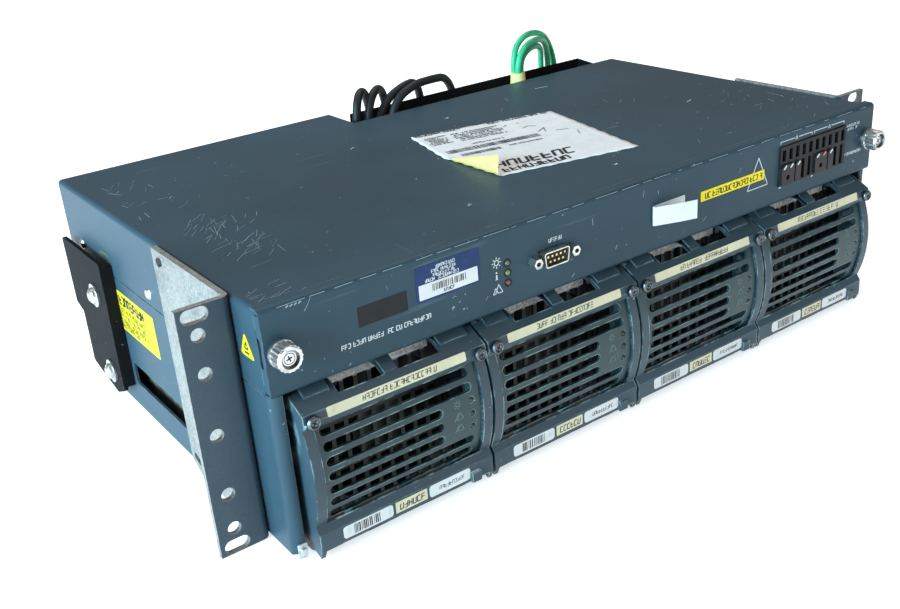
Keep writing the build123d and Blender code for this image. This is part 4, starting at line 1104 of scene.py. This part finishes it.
# %% Zinc foot at the left column
foot_face = Place((-211.0, -27.9, 0))
hexagon = [polar(0, 4.4, 1.9, k * math.pi / 3) for k in range(6)]
foot = [
    prism(foot_face, rounded_outline(-2.4, 0.5, 2.4, 8.4, 0.8), 0.0, 0.8),
    prism(foot_face, hexagon, 0.8, 2.2),
]
mesh_piece("column_foot", joined(foot), zinc_sheet, slot="zinc")
print("foot faces", len(joined(foot)[1]))

# %% [markdown]
# ## The paper label on top
#
# The square label was stuck on at an angle, and its near left corner has come loose: it
# stands up along a crease and shows its yellow back. The sheet is a grid of points, and every
# point beyond the crease is rolled round a small radius.

# %% Where the label lies and how it rolls
label_corners = [Vector(p) for p in ((-43.6, 39.9), (57.6, 19.2), (77.6, 119.8), (-20.6, 141.4))]
crease_start, crease_end = Vector((-32.4, 88.6)), Vector((-31.0, 37.2))
crease = (crease_end - crease_start).normalized()
loose_way = Vector((crease.y, -crease.x))
roll_radius, roll_limit = 1.2, math.radians(104)


def rolled(x, y):
    """Where a point of the flat sheet goes once the corner is rolled up."""
    reach = (Vector((x, y)) - crease_start).dot(loose_way)
    wave = 0.12 + 0.10 * math.sin(0.13 * x + 0.4) * math.sin(0.11 * y)
    if reach <= 0:
        return Vector((x, y, wave))
    angle = min(reach / roll_radius, roll_limit)
    rest = reach - angle * roll_radius
    flat = roll_radius * math.sin(angle) + rest * math.cos(angle)
    rise = roll_radius * (1 - math.cos(angle)) + rest * math.sin(angle)
    foot = Vector((x, y)) - loose_way * reach + loose_way * flat
    return Vector((foot.x, foot.y, wave + rise))


print("label sides, mm", [round((b - a).length) for a, b in zip(label_corners, label_corners[1:])])


# %% Paper label with a lifted corner
def label_sheet(name, steps, thick, material, back):
    """The sheet's upper and lower side, joined round the rim."""
    near_left, near_right, far_right, far_left = label_corners
    count = steps + 1
    tops, lows = [], []
    for j in range(count):
        for i in range(count):
            u, v = i / steps, j / steps
            flat = near_left.lerp(near_right, u).lerp(far_left.lerp(far_right, u), v)
            if i in (0, steps) or j in (0, steps):
                ragged = 0.5 * math.sin(61 * u + 3 + 2 * v) * math.cos(53 * v)
                flat = flat + Vector((ragged, 0.7 * ragged))
            tops.append(rolled(flat.x, flat.y))
    for k, point in enumerate(tops):
        i, j = k % count, k // count
        across = tops[k + (1 if i < steps else 0)] - tops[k - (1 if i else 0)]
        away = tops[k + (count if j < steps else 0)] - tops[k - (count if j else 0)]
        lows.append(point - across.cross(away).normalized() * thick)
    lift = Vector((0, 0, cover_z + thick))
    verts = [(p + lift) * mm for p in tops + lows]
    faces, looks = [], []
    total = count * count
    for j in range(steps):
        for i in range(steps):
            k = j * count + i
            faces.append((k, k + 1, k + count + 1, k + count))
            faces.append((total + k, total + k + count, total + k + count + 1, total + k + 1))
            looks += [0, 1]
    rim = [*range(count), *(j * count + steps for j in range(1, count))]
    rim += [steps * count + i for i in range(steps - 1, -1, -1)]
    rim += [j * count for j in range(steps - 1, 0, -1)]
    faces += [(a, total + a, total + b, b) for a, b in zip(rim, rim[1:] + rim[:1])]
    looks += [0] * len(rim)
    piece = mesh_piece(name, (verts, faces), material, slot="zinc")
    make_smooth(piece.data)
    piece.data.materials.append(back)
    piece.data.polygons.foreach_set("material_index", looks)
    return piece


label = label_sheet("paper_label", 44, 0.14, white_paper, pale_yellow)
print("label faces", len(label.data.polygons))

# %% Print on the paper label
label_side = label_corners[1] - label_corners[0]
label_place = Place(
    (*label_corners[0], 129.25), (*label_side, 0), (-label_side.y, label_side.x, 0)
)
label_lines = plain_print(4, 100.4, 16, 2.6, 0.22) + plain_print(54, 99.4, 24, 2.6, 0.22)
for row in range(7):
    x = 5 + marks.random() * 3
    label_lines += plain_print(x, 93 - 2.7 * row, 9 + marks.randrange(5), 1.5, 0.2)
for row in range(6):
    x = 24 + marks.random() * 2
    label_lines += plain_print(x, 92 - 3.3 * row, 18 + marks.randrange(9), 1.8, 0.2)
label_lines += bar_code(7, 55.0, 62.0, 6.4)
label_lines += plain_print(28, 65.4, 16, 1.9, 0.22) + bar_code(12, 46.0, 26.0, 4.6)
label_lines += plain_print(44, 48.4, 18, 1.7, 0.22)
bold_lines = plain_print(18, 13.6, 7, 9.6, 0.17, 0.3, 0.3)
bold_lines += plain_print(18, 4.2, 9, 6.2, 0.2, 0.15, 0.0)
pen_lines = [(72, 64, 79, 70, 0.5), (79, 70, 76, 62, 0.5), (82, 60, 90, 58, 0.45),
             (68, 77, 73, 80, 0.45), (73, 80, 77, 76, 0.45), (90, 44, 93, 52, 0.4),
             (60, 88, 63, 90, 0.5), (70, 90, 72, 89, 0.5)]
label_layers = {"print": label_lines, "numbers": bold_lines, "pen": pen_lines}
for name, lines in label_layers.items():
    tone = dark_ink_and_shade if name == "numbers" else grey_ink
    ink(f"paper_label_{name}", label_place, lines, tone, base=0.0)
print("label strokes", len(label_lines) + len(bold_lines))

# %% [markdown]
# ## Module labels, signs and lamps
#
# Each handle carries a cream label on its sloped head, three stickers on its lower bar, and
# three signs with lamps on the curved grille. The four modules are alike, so one function
# dresses one module, and the loop at the end calls it for each of them.

# %% Places on a handle and its grille
lug_y, lug_z, bar_y = -37.5, 74.2, -37.0
grille_middle, grille_front, grille_sag, grille_lean = 43.9, -38.4, 0.0080, 0.0097


def on_grille(x, z):
    """A place on the curved grille at a height."""
    lift = z - grille_middle
    y = grille_front + grille_sag * lift * lift - grille_lean * lift
    return Place((x, y, z), up=(0, 2 * grille_sag * lift - grille_lean, 1))


def dome_lamps(name, x, heights, radius, material, body):
    """Small round lenses that sit in the grille's three holes."""
    work = bmesh.new()
    for z in heights:
        spot = Matrix.Translation(on_grille(x, z).at(0, 0, -0.7))
        matrix = spot @ Matrix.Scale(radius * mm, 4)
        bmesh.ops.create_uvsphere(work, u_segments=14, v_segments=8, radius=1.0, matrix=matrix)
    mesh = bpy.data.meshes.new(name)
    work.to_mesh(mesh)
    work.free()
    make_smooth(mesh)
    mesh.materials.append(material)
    return add_piece(name, mesh, body)


print("grille's front at its middle", round(on_grille(0, grille_middle).origin.y, 1))


# %% Dress one module
def dress_module(n, x):
    """Labels, print, signs and lamps of one module."""
    body = f"handle_{n}"
    ride = {"body": body, "slot": "handle_paint"}
    head = Place((x, lug_y, lug_z), up=(0, 0.9, 3.9))
    bar = Place((x, bar_y, 0))
    stick(f"module_label_{n}", head, -38.5, -0.5, 38.5, 4.3, 0.7, cream_sticker, **ride)
    words = plain_print(-20.0, 0.7, 22, 2.5, 0.15, 0.22)
    ink(f"module_words_{n}", head, words, dark_ink_and_shade, **ride)
    stick(f"bar_code_sticker_{n}", bar, -38.5, 6.9, -10.6, 13.6, 1.6, white_sticker, **ride)
    ink(f"bar_code_{n}", bar, bar_code(-32.5, 7.8, 15.0, 5.0), dark_ink_and_shade, **ride)
    stick(f"number_sticker_{n}", bar, -9.0, 7.3, 9.6, 13.4, 0.3, cream_sticker, **ride)
    ink(f"number_{n}", bar, plain_print(-6.6, 8.6, 6, 3.2, 0.17, 0.12, 0), dark_ink_and_shade, **ride)
    stick(f"serial_sticker_{n}", bar, 11.0, 6.9, 36.2, 13.6, 1.6, white_sticker, **ride)
    ink(f"serial_{n}", bar, plain_print(17.0, 9.2, 10, 2.0, 0.17, 0.1, 0), grey_ink, **ride)
    signs = [strokes(on_grille(x + 31.0, 52.4), sun_sign(0, 0, 4.6, 0.38), -0.02, 0.14)]
    for z in (45.8, 39.4):
        lines = triangle_sign(0.8, 0, 3.8, 0.38) + [(-2.4, -2.0, -0.2, 2.2, 0.4)]
        signs.append(strokes(on_grille(x + 31.0, z), lines, -0.02, 0.14))
    mesh_piece(f"module_signs_{n}", joined(signs), sign_tone, body, "grille_paint")
    dome_lamps(f"module_lamps_{n}", x + 39.3, (51.9, 44.5, 37.1), 1.35, lamp_glass, body)


# %% [markdown]
# ## Copies with deeper cuts
#
# In the photograph the handle's notches reach further down, the grille's slots are taller,
# and the captive screws have sunk heads. The CAD meshes stay as they are: each cut is made
# in a copy by a Boolean modifier, and the copy replaces the CAD node. Flat shading is kept
# at real edges, found by their angle.


# %% Cut copy
def cut_copy(name, node, cutters, material, body):
    """A copy of a CAD node with some prisms cut out of it; it replaces the node."""
    mesh = cad[node].data.copy()
    mesh.transform(cad[node].matrix_world)
    work = bmesh.new()
    work.from_mesh(mesh)
    bmesh.ops.remove_doubles(work, verts=work.verts, dist=0.002 * mm)
    work.to_mesh(mesh)
    work.free()
    piece = add_piece(name, mesh, body)
    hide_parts(node)
    tools = [put("cutter", closed_mesh("cutter", shape)) for shape in cutters]
    for tool in tools:
        change = piece.modifiers.new("cut", "BOOLEAN")
        change.operation, change.solver, change.object = "DIFFERENCE", "EXACT", tool
    graph = bpy.context.evaluated_depsgraph_get()
    cut = bpy.data.meshes.new_from_object(piece.evaluated_get(graph))
    piece.modifiers.clear()
    piece.data = cut
    for tool in tools:
        bpy.data.objects.remove(tool)
    make_smooth(cut)
    cut.set_sharp_from_angle(angle=math.radians(28))
    cut.materials.clear()
    cut.materials.append(material)
    print(name, "faces", len(cut.polygons))


# %% Notched handle and its pads
notch_left, notch_right, notch_middle, notch_front = -29.0, 28.0, 4.5, -32.0
notch_low, notch_back, above_head = 76.3, -10.0, 92.0
head_high, head_bend, head_slope, pad_top = 84.0, -25.0, 0.53, 85.68


def notched_handle(n, x):
    """The handle with its two top notches cut further down the sloped head."""
    outline = [(notch_front, notch_low), (notch_back, notch_low), (notch_back, above_head),
               (notch_front, above_head)]
    spans = ((notch_left, -notch_middle), (notch_middle - 1.5, notch_right))
    cutters = [prism(side_view, outline, x + x0, x + x1) for x0, x1 in spans]
    body = f"handle_{n}"
    cut_copy(f"notched_{body}", f"handle_frame_{n}", cutters, handle_paint, body)


def handle_pads(n, x):
    """Three raised pads on the handle's head, beside and between the notches."""
    pads = ((-45.25, -32.0, -29.5), (-notch_middle, notch_middle - 1.5, notch_front),
            (29.4, 46.05, -29.5))
    parts = []
    for x0, x1, front_y in pads:
        drop = head_high - head_slope * (head_bend - front_y)
        outline = [(-18.45, head_high - 0.8), (-18.45, pad_top), (head_bend, pad_top)]
        outline += [(front_y, drop + 1.15), (front_y, drop - 0.8), (head_bend, head_high - 1.2)]
        parts.append(prism(side_view, outline, x + x0, x + x1))
    body = f"handle_{n}"
    mesh_piece(f"handle_pads_{n}", joined(parts), handle_paint, body, "handle_paint")


# %% Grille with open slots
slot_rows, short_rows, slot_top, slot_pitch, slot_tall = 7, (2, 3, 4), 66.2, 7.4, 4.6
slot_left, slot_right, slot_right_short = -42.6, 40.4, 22.0


def wide_slot_grille(n, x):
    """The grille with its slots opened to the height that the photograph shows."""
    face = Place((x, -45.0, 0))
    half = slot_tall / 2
    cutters = []
    for row in range(slot_rows):
        z = slot_top - slot_pitch * row
        right = slot_right_short if row in short_rows else slot_right
        outline = rounded_outline(slot_left, z - half, right, z + half, half - 0.02, 5)
        cutters.append(prism(face, outline, -20.0, 2.0))
    body = f"handle_{n}"
    cut_copy(f"open_grille_{n}", f"grille_{n}", cutters, grille_paint, body)


# %% Captive screws with sunk heads
screw_x, screw_z, screw_front = 46.4, 74.7, -40.2


def recessed_screws(n, x):
    """The captive screws with a sunk ring and a cross recess, with dark strokes at its bottom as
    painted shade.
    """
    cutters, floor_shades = [], []
    for side in (-1, 1):
        spot = Place((x + side * screw_x, screw_front, screw_z))
        turn = 0.5 + side
        ring = [polar(0, 0, 2.3, k * math.pi / 10) for k in range(20)]
        cutters.append(prism(spot, ring, -0.4, 1.0))
        cutters += [strokes(spot, [arm], -1.3, 1.0) for arm in cross_recess(1.5, 0.75, turn)]
        # Dark strokes at the bottom of the sunk ring and cross: painted shade of the recess.
        dark = cross_recess(1.4, 0.6, turn) + ring_lines(0, 0, 2.05, 0.35)
        floor_shades.append(strokes(spot, dark, -0.5, -0.36))
    body, node = f"handle_{n}", f"captive_screws_{n}"
    mesh_piece(f"screw_recess_shades_{n}", joined(floor_shades), dark_ink_and_shade, body, "bright_steel")
    cut_copy(f"captive_pair_{n}", node, cutters, dull_steel, body)


# %% Strip above the vents, with painted light
def case_strip(n, x):
    """The strip of case sheet above the vents, seen through the notches, in a pale zinc that
    stands for the light on it: painted highlight.
    """
    outline = [(-31, 77.5), (30, 77.5), (30, 81.7), (-31, 81.7)]
    strip = prism(Place((x, -17.0, 0)), outline, 0.02, 0.3)
    mesh_piece(f"case_strip_{n}", strip, lit_strip_zinc, f"module_{n}", "zinc")


steps = (dress_module, notched_handle, wide_slot_grille, recessed_screws, handle_pads, case_strip)
for n, x in enumerate(module_x, start=1):
    for make in steps:
        make(n, x)
